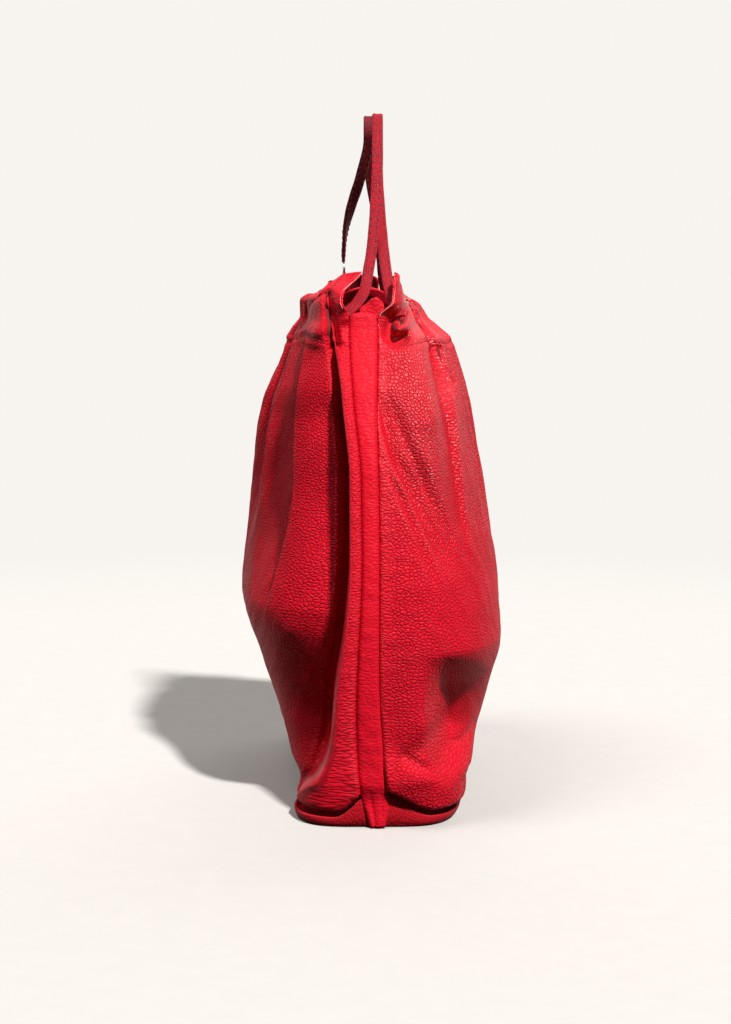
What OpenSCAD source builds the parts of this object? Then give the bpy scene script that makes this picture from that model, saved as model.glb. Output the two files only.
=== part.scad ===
// Leather drawstring bag, standing on its base, mouth drawn and both strap loops held up.
// X runs from the front panel (negative) to the back panel, Y from the near side seam (negative)
// to the far side seam, Z up from the floor. All sizes in millimetres.

/* [Body] */
// Length of the base along Y
base_length = 282; // [230:1:340]
// Depth of the base along X
base_depth = 104; // [84:1:130]
// Length of the body at its fullest
belly_length = 300; // [240:1:360]
// Depth of the body at its fullest
belly_depth = 172; // [136:1:210]
// Length of the body at the casing stitch line
casing_length = 202; // [160:1:240]
// Depth of the body at the casing stitch line
casing_depth = 110; // [90:1:136]
// Length of the drawn rim
rim_length = 166; // [130:1:196]
// Depth of the drawn rim
rim_depth = 86; // [68:1:104]
// Height of the drawn rim above the floor
rim_height = 326; // [270:1:400]
// Height of the casing, stitch line to rim
casing_height = 34; // [28:1:42]
// Height of the fullest part of the front panel
front_belly_height = 126; // [90:1:150]
// Height of the fullest part of the back panel
back_belly_height = 95; // [80:1:150]
// Shift of the drawn mouth towards the front panel
mouth_lean = 4; // [0:0.5:8]
// Rise of the casing corners beside the side seams
corner_rise = 12; // [4:1:16]

/* [Leather] */
// Thickness of the body leather
leather = 1.8; // [1.2:0.1:2.4]
// Thickness of the inner casing ply
facing_leather = 1.2; // [0.8:0.1:1.8]
// Depth of the seam allowance turned inwards
seam_turn = 7; // [4:0.5:10]
// Width of the side strip
strip_width = 13; // [9:0.5:18]
// Width of the side strip at its top hem
strip_top_width = 17; // [11:0.5:22]
// Drop of the side strip's hem below the rim
strip_drop = 13; // [8:1:18]
// Gap left between neighbouring plies
ply_gap = 0.35; // [0.3:0.05:0.6]

/* [Base] */
// Thickness of the base floor
base_floor = 2.4; // [1.6:0.1:4]
// Height of the base's turned-up edge along the walls
lip_height = 5; // [3:0.5:8]
// Height of the base's turned-up end beside the strip
lip_peak = 13; // [8:0.5:18]

/* [Folds] */
// Depth of the long fold beside the near strip on the front panel
side_fold = 18; // [6:1:24]
// Depth of the pleats under the casing
pleat_depth = 10; // [4:0.5:13]
// Overhang of the walls above the base's edge
base_bulge = 5; // [2:0.5:7]
// Depth of the hollow low on the back panel
hollow_depth = 7; // [0:0.5:10]

/* [Straps] */
// Width of the drawcord strap
strap_width = 7; // [5:0.5:9]
// Thickness of the drawcord strap
strap_thick = 2.4; // [1.6:0.1:3]
// Length of each loop, from its exit to its top, along its lean
loop_reach = 126; // [100:1:180]
// Lean of each loop towards the middle, degrees
loop_lean = 30; // [20:1:36]
// Half the gap between the strands at the top of a loop
loop_radius = 9; // [7:0.5:14]
// Near loop, left strand at its exit, X
near_left = -6.5; // [-10:0.5:-5]
// Near loop, right strand at its exit, X
near_right = 8.5; // [6:0.5:12]
// Far loop, left strand at its exit, X
far_left = -19; // [-22:0.5:-14]
// Far loop, right strand at its exit, X
far_right = 8.5; // [6:0.5:12]
// Near loop at its top, X
near_top_x = 3.5; // [-6:0.5:8]
// Far loop at its top, X
far_top_x = -2; // [-6:0.5:8]

/* [Ring] */
// Diameter of the ring wire
ring_wire = 1.8; // [1.2:0.1:2.4]
// Inside height of the ring
ring_inside = 6.4; // [5:0.2:10]
// Running play of the ring in its leather loops
ring_play = 0.35; // [0.3:0.05:0.5]

/* [View] */
// Piece to draw, or all of them

/* [Hidden] */
columns = 44;
stitch_z = rim_height - casing_height;
strip_top = rim_height - strip_drop;
belly_z = 0.38 * stitch_z;
near_level = rim_height - 14;
far_level = near_level - strap_width - 2.5;
exit_z = rim_height;
tunnel = strap_thick + 2 * ply_gap + 2;
tray_squareness = 4.6;
tray_a = base_depth / 2;
tray_b = base_length / 2;
tuck_a = tray_a - leather - ply_gap - 0.5;
tuck_b = tray_b - leather - ply_gap - 0.5;
front_keys = [[0, tray_a - 2], [front_belly_height, belly_depth / 2],
    [stitch_z, casing_depth / 2], [rim_height, rim_depth / 2]];
back_keys = [[0, tray_a], [back_belly_height, belly_depth / 2],
    [stitch_z, casing_depth / 2 + 1], [rim_height, rim_depth / 2]];
length_keys = [[0, tray_b - 2], [belly_z, belly_length / 2],
    [stitch_z, casing_length / 2], [rim_height, rim_length / 2]];
// Path of the long fold: height, angle from the seam, share of its depth
fold_path = [[10, 15, 0], [22, 14, 0.45], [45, 7.6, 0.8], [85, 5.4, 1], [0.62 * stitch_z, 3.8, 1],
    [stitch_z - 46, 4.4, 1], [stitch_z - 9, 6, 0.1], [rim_height, 7, 0.06]];
// Pleats: angle at the casing, angle lower down, share of depth, spread, height where they end
front_pleats = [[36, 30, 0.9, 9, 100], [62, 56, 1, 10, 150], [89, 91, 1.2, 11, 120],
    [116, 123, 1, 10, 150], [145, 150, 0.9, 9, 105]];
back_pleats = [[37, 33, 1, 9, 185], [63, 57, 0.9, 10, 140], [92, 88, 1.1, 11, 170],
    [118, 124, 1, 10, 130], [146, 150, 0.9, 9, 150]];
near_sign = -1;
far_sign = 1;

function smooth(low, high, x) = let (t = max(0, min(1, (x - low) / (high - low)))) t * t * (3 - 2 * t);
function mix(a, b, t) = a + (b - a) * t;
function bell(x, centre, spread) = exp(-pow((x - centre) / spread, 2));
function unit(v) = v / norm(v);

// Smooth curve through rows of [height, value]: no overshoot between the rows
function span(keys, z) = len([for (k = keys) if (k[0] <= z) 1]) - 1;
function slope(keys, i) = (keys[i + 1][1] - keys[i][1]) / (keys[i + 1][0] - keys[i][0]);
function tangent(keys, i) = i <= 0 ? 0 : i >= len(keys) - 1 ? slope(keys, i - 1) :
    let (a = slope(keys, i - 1), b = slope(keys, i)) a * b <= 0 ? 0 : 2 * a * b / (a + b);
function curve(keys, z) =
    let (i = max(0, min(len(keys) - 2, span(keys, z))), w = keys[i + 1][0] - keys[i][0], t = (z - keys[i][0]) / w)
    t > 1 ? keys[i + 1][1] + tangent(keys, i + 1) * (z - keys[i + 1][0]) :
    mix(keys[i][1], keys[i + 1][1], t * t * (3 - 2 * t))
        + w * (tangent(keys, i) * t * (1 - t) * (1 - t) - tangent(keys, i + 1) * t * t * (1 - t));
function row_value(keys, z, k) = curve([for (r = keys) [r[0], r[k]]], z);

// Plan shape: angle runs from the near seam (0) round one panel to the far seam (180)
function plan(angle, a, b, n) =
    let (r = pow(pow(abs(sin(angle)) / a, n) + pow(abs(cos(angle)) / b, n), -1 / n))
    [r * sin(angle), -r * cos(angle)];
function plan_normal(p, a, b, n) =
    unit([pow(abs(p[0]) / a, n - 1) / a, sign(p[1]) * pow(abs(p[1]) / b, n - 1) / b]);
function squareness(z) = mix(tray_squareness, 2.25, smooth(-40, 0.62 * rim_height, z));
function lean(z) = -mouth_lean * smooth(0.45 * rim_height, strip_top, z);
function half_strip(z) = mix(strip_width, strip_top_width, smooth(0.76 * rim_height, strip_top - 6, z)) / 2;
function lip(x) = mix(lip_peak, lip_height, smooth(strip_width / 2, tray_a - 6, abs(x)));
function rim(angle) = rim_height + corner_rise * max(bell(angle, 0, 13), bell(angle, 180, 13));

// Depth of all folds at one place on a panel, measured inwards
function pleats(list, angle, z) = [for (p = list)
    pleat_depth * p[2] * bell(angle, mix(p[1], p[0], smooth(p[4], stitch_z, z)), p[3])
        * smooth(p[4], stitch_z, z) * (1 - 0.45 * smooth(stitch_z - 6, stitch_z + 6, z))];
function total(v, i = 0) = i < len(v) ? v[i] + total(v, i + 1) : 0;
function long_fold(angle, z) =
    let (d = angle - row_value(fold_path, z, 1))
    side_fold * row_value(fold_path, z, 2) * bell(d, 0, d < 0 ? 1.7 : 6);
function folds(side, angle, z) = side < 0 ?
    total(pleats(front_pleats, angle, z)) + long_fold(angle, z) + 0.5 * long_fold(180 - angle, z) :
    total(pleats(back_pleats, angle, z)) + hollow_depth * bell(angle, 23, 9) * bell(z, 62, 26)
        + 0.5 * hollow_depth * bell(angle, 150, 12) * bell(z, 80, 30);

// Edge of a panel beside the open gap of the mouth, above the strip's hem
function seam_edge(side, z) = lean(z) + side * (half_strip(z) + ply_gap);
function gap_reach(side, end) = end < 0 ? (side < 0 ? near_left - 10.5 : near_right + 4.7) :
    (side < 0 ? far_left - 6.5 : far_right + 4.7);
function gap_tip(side, end) = end < 0 ? (side < 0 ? near_left - 4.4 : near_right + 5) :
    (side < 0 ? far_left - 4 : far_right + 5);
function gap_edge(side, end, z) = let (e = seam_edge(side, strip_top))
    mix(mix(e, gap_reach(side, end), smooth(strip_top - 2, strip_top + 7, z)), gap_tip(side, end),
        smooth(rim_height - 2, rim_height + corner_rise, z));
function gap_shift(side, end, z) = z < strip_top - 2 ? 0 : gap_edge(side, end, z) - seam_edge(side, z);

// Outer face of a panel
function wall(side, angle, z) =
    let (n = squareness(z), off = half_strip(z) + ply_gap,
        a = curve(side < 0 ? front_keys : back_keys, z) - off, b = curve(length_keys, z),
        p = plan(angle, a, b, n), q = plan_normal(p, a, b, n),
        tray = plan(atan2(off + p[0], -p[1]), tuck_a, tuck_b, tray_squareness) - [off, 0],
        top = lip(off + p[0]) + 0.8,
        out = smooth(top, top + 9, z),
        push = base_bulge * bell(z, top + 11, 9) - folds(side, angle, z),
        flat = mix(tray, p + q * push, out),
        shift = gap_shift(side, near_sign, z) * bell(angle, 0, 11) + gap_shift(side, far_sign, z) * bell(angle, 180, 11))
    [lean(z) + side * (off + flat[0]) + shift, flat[1], z];
function inward(side, angle, z) =
    let (da = 0.6, a0 = max(0, angle - da), a1 = min(180, angle + da),
        along = wall(side, a1, z) - wall(side, a0, z), up = wall(side, angle, z + 1) - wall(side, angle, z - 1))
    side * unit(cross(up, along));
function ply(side, angle, z, depth) = wall(side, angle, z) + depth * inward(side, angle, z);
function column_angle(i, count) = let (u = i / count) 180 * u - 20 * sin(360 * u);

// Rows of a panel: foot, body, casing; the casing rows follow the rim
foot_rows = [base_floor + ply_gap, 6, 10, 14, 18, 23, 30];
body_count = 9;
casing_count = 5;
function panel_z(j, angle) = j < len(foot_rows) ? foot_rows[j] :
    j < len(foot_rows) + body_count ? mix(30, stitch_z - 4, (j - len(foot_rows) + 1) / body_count) :
    mix(stitch_z - 4, rim(angle), (j - len(foot_rows) - body_count + 1) / casing_count);
panel_rows = len(foot_rows) + body_count + casing_count;
function turn_depth(z) = 0.7 + (seam_turn - 0.7) * smooth(lip_peak + 4, lip_peak + 16, z)
    * (1 - smooth(strip_top - 32, strip_top - 18, z));

// Closed skin between two matching grids of points
module skin(outer, inner, flip) {
    rows = len(outer);
    cols = len(outer[0]);
    size = rows * cols;
    flat_points = [for (r = outer) for (p = r) p, for (r = inner) for (p = r) p];
    quads = [
        for (j = [0 : rows - 2]) for (i = [0 : cols - 2])
            let (a = j * cols + i) [a, a + cols, a + cols + 1, a + 1],
        for (j = [0 : rows - 2]) for (i = [0 : cols - 2])
            let (a = size + j * cols + i) [a, a + 1, a + cols + 1, a + cols],
        for (j = [0 : rows - 2]) let (a = j * cols) [a + cols, a, a + size, a + size + cols],
        for (j = [0 : rows - 2]) let (b = j * cols + cols - 1) [b, b + cols, b + cols + size, b + size],
        for (i = [0 : cols - 2]) [i, i + 1, i + 1 + size, i + size],
        for (i = [0 : cols - 2]) let (d = (rows - 1) * cols + i) [d + 1, d, d + size, d + 1 + size]];
    tris = [for (q = quads) each [[q[0], q[1], q[2]], [q[0], q[2], q[3]]]];
    polyhedron(flat_points, flip ? [for (t = tris) [t[0], t[2], t[1]]] : tris, convexity = 10);
}

// One body panel: both long edges turn inwards beside the side strips
module panel(side) {
    outer = [for (j = [0 : panel_rows - 1]) [
        let (z = panel_z(j, 0), p = wall(side, 0, z)) p + [0, turn_depth(z), 0],
        for (i = [0 : columns]) let (g = column_angle(i, columns)) wall(side, g, panel_z(j, g)),
        let (z = panel_z(j, 180), p = wall(side, 180, z)) p - [0, turn_depth(z), 0]]];
    inner = [for (j = [0 : panel_rows - 1]) [
        let (z = panel_z(j, 0), p = wall(side, 0, z)) p + [side * leather, turn_depth(z), 0],
        wall(side, 0, panel_z(j, 0)) + leather * [side, 1, 0],
        for (i = [1 : columns - 1]) let (g = column_angle(i, columns)) ply(side, g, panel_z(j, g), leather),
        wall(side, 180, panel_z(j, 180)) + leather * [side, -1, 0],
        let (z = panel_z(j, 180), p = wall(side, 180, z)) p + [side * leather, -turn_depth(z), 0]]];
    skin(outer, inner, side < 0);
}

module front_panel() {
    color([0.75, 0.09, 0.13])
        panel(-1);
}

module back_panel() {
    color([0.80, 0.09, 0.14])
        panel(1);
}

// Side strip: a channel with both edges turned inwards, its foot lying over the base's edge
strip_foot = [1.2, 2.2, 5, 10, 15, 19, 24, 31];
strip_steps = 14;
function strip_scale(k, count) = k == 0 || k == count ? 0.55 : k == 1 || k == count - 1 ? 0.86 : 1;
module side_strip(end) {
    heights = concat(strip_foot, [for (k = [1 : strip_steps]) mix(31, strip_top - 16, k / strip_steps)],
        [strip_top - 10, strip_top - 5, strip_top - 1.6, strip_top]);
    count = len(heights) - 1;
    web = leather + 0.3;
    rings = [for (k = [0 : count])
        let (z = heights[k], w = half_strip(z) * strip_scale(k, count),
            body = abs(wall(-1, end < 0 ? 0 : 180, z)[1]) + 0.5,
            face = mix(tray_b + ply_gap + web, body, smooth(lip_peak + 1, lip_peak + 11, z)),
            d = web + (seam_turn - web) * smooth(lip_peak + 4, lip_peak + 16, z)
                * (1 - smooth(strip_top - 30, strip_top - 18, z)),
            t = min(leather, w / 2))
        [for (p = [[-w, 0], [w, 0], [w, d], [w - t, d], [w - t, leather], [t - w, leather], [t - w, d], [-w, d]])
            [lean(z) + p[0], end * (face - p[1]), z]]];
    points = [for (r = rings) for (p = r) p];
    sides = [for (k = [0 : count - 1]) for (i = [0 : 7])
        [8 * k + i, 8 * k + 8 + i, 8 * k + 8 + (i + 1) % 8, 8 * k + (i + 1) % 8]];
    top = 8 * count;
    ends = [[0, 1, 4, 5], [1, 2, 3, 4], [0, 5, 6, 7],
        [top + 5, top + 4, top + 1, top], [top + 4, top + 3, top + 2, top + 1], [top + 7, top + 6, top + 5, top]];
    tris = [for (q = concat(sides, ends)) each [[q[0], q[1], q[2]], [q[0], q[2], q[3]]]];
    polyhedron(points, end < 0 ? tris : [for (t = tris) [t[0], t[2], t[1]]], convexity = 6);
}

module near_side_strip() {
    color([0.84, 0.12, 0.17])
        side_strip(near_sign);
}

module far_side_strip() {
    color([0.84, 0.12, 0.17])
        side_strip(far_sign);
}

// Base: a shallow tray, its ends rising to a peak behind each side strip
module tray_outline(inset) {
    polygon([for (g = [0 : 2.5 : 359]) plan(g, tray_a - inset, tray_b - inset, tray_squareness)]);
}

module base_panel() {
    reach = tray_a + 10;
    step = (tray_a - 6 - strip_width / 2) / 6;
    slant = [for (k = [0 : 6]) let (x = strip_width / 2 + k * step) [x, lip(x)]];
    color([0.60, 0.07, 0.10])
        difference() {
            linear_extrude(lip_peak)
                tray_outline(0);
            translate([0, 0, base_floor])
                linear_extrude(lip_peak)
                    tray_outline(leather);
            translate([0, base_length, 0])
                rotate([90, 0, 0])
                    linear_extrude(2 * base_length)
                        polygon(concat(slant, [[reach, lip_height], [reach, lip_peak + 5], [-reach, lip_peak + 5],
                            [-reach, lip_height]], [for (k = [6 : -1 : 0]) [-slant[k][0], slant[k][1]]]));
        }
}

// Inner casing ply: joined to the panel along both edges, standing off it between them
facing_rows = [[-0.08, 0.2], [0.06, 1], [0.4, 1], [0.76, 1], [0.93, 0.15]];
// Angle from the seam where a panel reaches a given X
function angle_at(side, end, z, x, low = 0.4, high = 60, n = 16) = let (m = (low + high) / 2)
    n == 0 ? m : side * (wall(side, end < 0 ? m : 180 - m, z)[0] - x) < 0 ?
    angle_at(side, end, z, x, m, high, n - 1) : angle_at(side, end, z, x, low, m, n - 1);
function stub_side(side, end) = side * strap_width / 2 +
    (end < 0 ? (side < 0 ? near_left : near_right) : (side < 0 ? far_left : far_right));
function facing_start(side, end) = max(2, angle_at(side, end, far_level, stub_side(side, end) + side * 11));
module facing(side) {
    first = facing_start(side, near_sign);
    last = 180 - facing_start(side, far_sign);
    angles = [for (i = [0 : columns]) mix(first, last, column_angle(i, columns) / 180)];
    function level(r, g) = mix(stitch_z, rim(g), r[0]);
    outer = [for (r = facing_rows) [for (g = angles)
        ply(side, g, level(r, g), leather + ply_gap + r[1] * (tunnel - ply_gap))]];
    inner = [for (r = facing_rows) [for (g = angles)
        ply(side, g, level(r, g), leather + ply_gap + r[1] * (tunnel - ply_gap) + facing_leather)]];
    skin(outer, inner, side < 0);
}

module front_facing() {
    color([0.42, 0.06, 0.08])
        facing(-1);
}

module back_facing() {
    color([0.42, 0.06, 0.08])
        facing(1);
}

// Flat strap swept along rows of [centre, width direction, optional heading], edges bevelled or square
module strap(rows, width, thick, bevel) {
    count = len(rows) - 1;
    a = width / 2;
    c = thick / 2;
    outline = bevel > 0 ? [[-a, bevel - c], [bevel - a, -c], [a - bevel, -c], [a, bevel - c],
        [a, c - bevel], [a - bevel, c], [bevel - a, c], [-a, c - bevel]] : [[-a, -c], [a, -c], [a, c], [-a, c]];
    m = len(outline);
    rings = [for (k = [0 : count])
        let (along = len(rows[k]) > 2 ? rows[k][2] : unit(rows[min(count, k + 1)][0] - rows[max(0, k - 1)][0]),
            w0 = rows[k][1], w = unit(w0 - (w0 * along) * along), f = cross(along, w))
        [for (p = outline) rows[k][0] + p[0] * w + p[1] * f]];
    points = [for (r = rings) for (p = r) p];
    sides = [for (k = [0 : count - 1]) for (i = [0 : m - 1])
        let (p = m * k + i, q = m * k + (i + 1) % m) each [[p, p + m, q + m], [p, q + m, q]]];
    top = m * count;
    ends = concat([for (i = [1 : m - 2]) [0, i, i + 1]], [for (i = [1 : m - 2]) [top, top + i + 1, top + i]]);
    polyhedron(points, concat(sides, ends), convexity = 6);
}

// Drawcord inside both tunnels, crossing the open gap at one end as an arch
function cord_depth() = leather + (tunnel + ply_gap) / 2;
function cord_row(side, angle, z) =
    [ply(side, angle, z, cord_depth()), unit(ply(side, angle, z + 3, cord_depth()) - ply(side, angle, z - 3, cord_depth()))];
module cord_run(end, z) {
    away = -end;
    f0 = angle_at(-1, end, z, stub_side(-1, end) - 7);
    b0 = angle_at(1, end, z, stub_side(1, end) + 7);
    f1 = angle_at(-1, away, z, stub_side(-1, away) - 6);
    b1 = angle_at(1, away, z, stub_side(1, away) + 6);
    steps = columns;
    function turned(g) = end < 0 ? g : 180 - g;
    function part(i) = column_angle(i, steps) / 180;
    front_run = [for (i = [0 : steps]) cord_row(-1, turned(mix(f0, 180 - f1, part(i))), z)];
    back_run = [for (i = [0 : steps]) cord_row(1, turned(mix(180 - b1, b0, part(i))), z)];
    from = front_run[steps];
    to = back_run[0];
    arch = [for (i = [1 : 11]) let (t = i / 12, lift = sin(180 * t))
        [mix(from[0], to[0], t) + [0, 26 * end * pow(lift, 0.65), 10 * lift], unit(mix(from[1], to[1], t))]];
    way = [-1, 0, 0];
    play = 2 * ply_gap;
    start = [[on_loop(end, stub_side(-1, end) - play, exit_drop(z), 0), along_loop(end), way]];
    stop = [[on_loop(end, stub_side(1, end) + play, exit_drop(z), 0), along_loop(end), way]];
    strap(concat(start, front_run, arch, back_run, stop), strap_width, strap_thick, 0);
}

module near_cord_run() {
    color([0.70, 0.08, 0.12])
        cord_run(near_sign, near_level);
}

module far_cord_run() {
    color([0.70, 0.08, 0.12])
        cord_run(far_sign, far_level);
}

// Place on a loop: along its lean from the exit, and across its plane
exit_y = curve(length_keys, exit_z) - leather - strap_thick / 2 - 4.6;
function along_loop(end) = [0, -end * sin(loop_lean), cos(loop_lean)];
function across_loop(end) = [0, end * cos(loop_lean), sin(loop_lean)];
function on_loop(end, x, h, off) = [x, end * exit_y, exit_z] + h * along_loop(end) + off * across_loop(end);
function exit_drop(z) = (z - exit_z) / cos(loop_lean);
module at_exit(end, x, h) {
    translate(on_loop(end, x, h, 0))
        rotate([end * loop_lean, 0, 0])
            children();
}

// Strap ends held in the casing below the exits; the top is cut back on the outside so the loop can fold out
module cord_end(end, x, level, reach) {
    foot = exit_drop(level) - strap_width / 2;
    t = strap_thick / 2;
    cut = reach * sqrt(2) + 0.45;
    at_exit(end, x, 0)
        rotate([90, 0, 90])
            linear_extrude(strap_width, center = true)
                polygon([[-end * t, foot], [end * t, foot], [end * t, -cut - t], [0, -cut],
                    [-end * t, -max(cut - t, reach + 0.45)]]);
}

module near_cord_ends() {
    color([0.72, 0.09, 0.13]) {
        cord_end(near_sign, near_left, near_level, strap_thick / 2);
        cord_end(near_sign, near_right, near_level, strap_thick / 2);
    }
}

module far_cord_ends() {
    color([0.72, 0.09, 0.13]) {
        cord_end(far_sign, far_left, far_level, strap_width / 2);
        cord_end(far_sign, far_right, far_level, strap_thick / 2);
    }
}

// Handle loops: one strand up, over the top, the other strand down
straight = loop_reach - loop_radius;
function strand(end, x0, x1, spread, h, from) =
    on_loop(end, mix(x0, x1, smooth(from, 0.75 * loop_reach, h)), h, spread * smooth(from, 0.8 * loop_reach, h));
function over_top(end, x, spread, t) =
    on_loop(end, x, straight + loop_radius * sin(180 * t), spread * cos(180 * t));
module near_handle_strap() {
    steps = 14;
    side = [1, 0, 0];
    rows = concat(
        [for (i = [0 : steps]) [strand(-1, near_left, near_top_x, loop_radius, straight * i / steps, 0), side]],
        [for (i = [1 : 9]) [over_top(-1, near_top_x, loop_radius, i / 10), side]],
        [for (i = [steps : -1 : 0]) [strand(-1, near_right, near_top_x, -loop_radius, straight * i / steps, 0), side]]);
    color([0.74, 0.09, 0.14]) {
        strap(rows, strap_width, strap_thick, 0.28 * strap_thick);
        for (x = [near_left, near_right])
            translate(on_loop(-1, x, 0, 0))
                rotate([0, 90, 0])
                    cylinder(d = strap_thick, h = strap_width, center = true, $fn = 48);
    }
}

// The far loop's left strand hangs edge-on from its ring and turns flat higher up
ring_low = 9;
ring_high = ring_low + ring_inside + ring_wire;
eye = ring_wire / 2 + ring_play;
eye_wall = strap_thick / 2;
module ring_eye(h) {
    at_exit(far_sign, far_left, h)
        rotate([90, 0, 0])
            difference() {
                cylinder(r = eye + eye_wall, h = strap_width, center = true, $fn = 48);
                cylinder(r = eye, h = strap_width + 2, center = true, $fn = 48);
            }
}

module far_handle_strap() {
    steps = 16;
    start = ring_high + eye + eye_wall / 2;
    flat = [1, 0, 0];
    function facing_way(h) = let (q = 90 * (1 - smooth(start + 4, start + 40, h)))
        cos(q) * flat + sin(q) * across_loop(1);
    rows = concat(
        [for (i = [0 : steps]) let (h = mix(start, straight, i / steps))
            [strand(1, far_left, far_top_x, -loop_radius, h, start), facing_way(h)]],
        [for (i = [1 : 9]) [over_top(1, far_top_x, -loop_radius, i / 10), flat]],
        [for (i = [steps : -1 : 0]) [strand(1, far_right, far_top_x, loop_radius, straight * i / steps, 0), flat]]);
    color([0.38, 0.08, 0.11]) {
        strap(rows, strap_width, strap_thick, 0.28 * strap_thick);
        ring_eye(ring_high);
        translate(on_loop(1, far_right, 0, 0))
            rotate([0, 90, 0])
                cylinder(d = strap_thick, h = strap_width, center = true, $fn = 48);
    }
}

module ring_tab() {
    color([0.72, 0.09, 0.13]) {
        ring_eye(ring_low);
        at_exit(far_sign, far_left, 0)
            difference() {
                union() {
                    rotate([0, 90, 0])
                        cylinder(d = strap_width, h = strap_thick, center = true, $fn = 64);
                    translate([-strap_thick / 2, -strap_width / 2, 0])
                        cube([strap_thick, strap_width, ring_low - eye]);
                }
                translate([0, 0, ring_low])
                    rotate([90, 0, 0])
                        cylinder(r = eye + eye_wall / 2, h = strap_width + 2, center = true, $fn = 48);
            }
    }
}

// Ring: four straight wires and four quarter bends, in the plane of the loop's lean
module strap_ring() {
    bend = 1.6;
    hx = strap_width / 2 + 0.5 + ring_wire / 2;
    hz = (ring_inside + ring_wire) / 2;
    color([0.78, 0.78, 0.76])
        at_exit(far_sign, far_left, ring_low + hz)
            rotate([90, 0, 90]) {
                for (s = [-1, 1]) {
                    translate([0, s * hz, 0])
                        rotate([0, 90, 0])
                            cylinder(d = ring_wire, h = 2 * (hx - bend), center = true, $fn = 32);
                    translate([s * hx, 0, 0])
                        rotate([90, 0, 0])
                            cylinder(d = ring_wire, h = 2 * (hz - bend), center = true, $fn = 32);
                }
                for (q = [0 : 3])
                    translate([(q == 0 || q == 3 ? 1 : -1) * (hx - bend), (q < 2 ? 1 : -1) * (hz - bend), 0])
                        rotate([0, 0, 90 * q])
                            rotate_extrude(angle = 90, $fn = 64)
                                translate([bend, 0])
                                    circle(d = ring_wire, $fn = 32);
            }
}

front_panel();
back_panel();
near_side_strip();
far_side_strip();
base_panel();
front_facing();
back_facing();
near_cord_run();
far_cord_run();
near_cord_ends();
far_cord_ends();
near_handle_strap();
far_handle_strap();
strap_ring();
ring_tab();
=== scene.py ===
import math
from collections import namedtuple

import bpy
import numpy as np
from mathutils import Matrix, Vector


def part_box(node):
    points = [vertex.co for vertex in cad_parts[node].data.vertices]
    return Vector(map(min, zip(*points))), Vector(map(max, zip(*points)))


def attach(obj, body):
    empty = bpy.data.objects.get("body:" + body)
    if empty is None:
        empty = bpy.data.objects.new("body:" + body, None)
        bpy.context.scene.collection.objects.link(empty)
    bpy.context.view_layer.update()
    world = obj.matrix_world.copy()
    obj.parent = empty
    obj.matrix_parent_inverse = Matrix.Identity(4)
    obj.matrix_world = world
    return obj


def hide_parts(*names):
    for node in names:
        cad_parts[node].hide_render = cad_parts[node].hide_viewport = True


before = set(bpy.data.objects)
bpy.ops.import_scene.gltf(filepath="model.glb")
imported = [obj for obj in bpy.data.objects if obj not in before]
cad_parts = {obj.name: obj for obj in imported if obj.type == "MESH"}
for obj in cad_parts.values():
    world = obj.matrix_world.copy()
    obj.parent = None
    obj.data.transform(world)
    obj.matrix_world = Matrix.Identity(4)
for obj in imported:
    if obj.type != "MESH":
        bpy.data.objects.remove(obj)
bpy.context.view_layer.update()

bl_info = {
    "name": "Drawstring bag",
    "version": (1, 0, 0),
    "blender": (4, 5, 0),
    "location": "View3D > Sidebar > Bag",
    "description": "Sews the looks of a soft leather drawstring bag round its packed frame",
    "category": "Add Mesh",
}

MM = 0.001
BASE_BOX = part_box("base_panel")
STRIP_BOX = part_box("near_side_strip")
NEAR, FAR = -1, 1
FRONT, BACK = -1, 1

# A fold: (height, angle) rows of its line, (height, depth) rows, then how many degrees
# it takes to drop in before the line, stays deep after it and needs to come back out
Fold = namedtuple("Fold", "path depth drop hold rise")
# A gather of the casing: angle from the near seam, how far it stands out, its spread in degrees
Gather = namedtuple("Gather", "angle out spread")

# Sizes for which the tables below are drawn, in millimetres; other sizes scale or move them
DRAWN_RIM = 326
DRAWN_STRIP = 13
DRAWN_LOOP = 126

# Line of the deep slot beside the near strip: (height, angle)
SLOT_PATH = ((10, 20.5), (14, 18.5), (18, 16.3), (22, 14), (27, 11.5), (33, 9.9), (42, 8.1), (52, 6.9),
             (88, 5.6), (123, 4.2), (164, 3.7), (215, 3.7), (262, 4.1), (283, 5.2), (305, 7.8), (326, 9.5))
FRONT_FOLDS = (
    Fold(SLOT_PATH,
         ((8, 0), (20, 2), (60, 4), (100, 7), (123, 12), (250, 15), (285, 11), (305, 7), (326, 6)),
         0.7, 1.1, 2.6),
    Fold(((112, 29), (141, 27.3), (208, 22), (292, 22), (326, 24)),
         ((112, 0), (150, 4), (200, 7), (288, 6), (302, 3), (326, 2)), 2.2, 5, 45),
    Fold(((180, 47), (230, 42), (292, 40), (326, 40)),
         ((175, 0), (205, 4), (250, 4), (285, 3), (326, 2)), 1.8, 3, 30),
)
# How far the front panel lies behind its rolled edge, and how much further under the belly: (height, depth)
SET_BACK = ((12, 0), (24, 6), (45, 15), (70, 22), (125, 25), (200, 25), (245, 21), (268, 11), (285, 7),
            (305, 4), (326, 3))
UNDERSIDE = ((12, 0), (18, 8), (26, 20), (36, 30), (46, 35), (58, 35), (70, 32), (82, 26), (94, 19),
             (106, 11), (118, 4), (130, 0))
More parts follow.
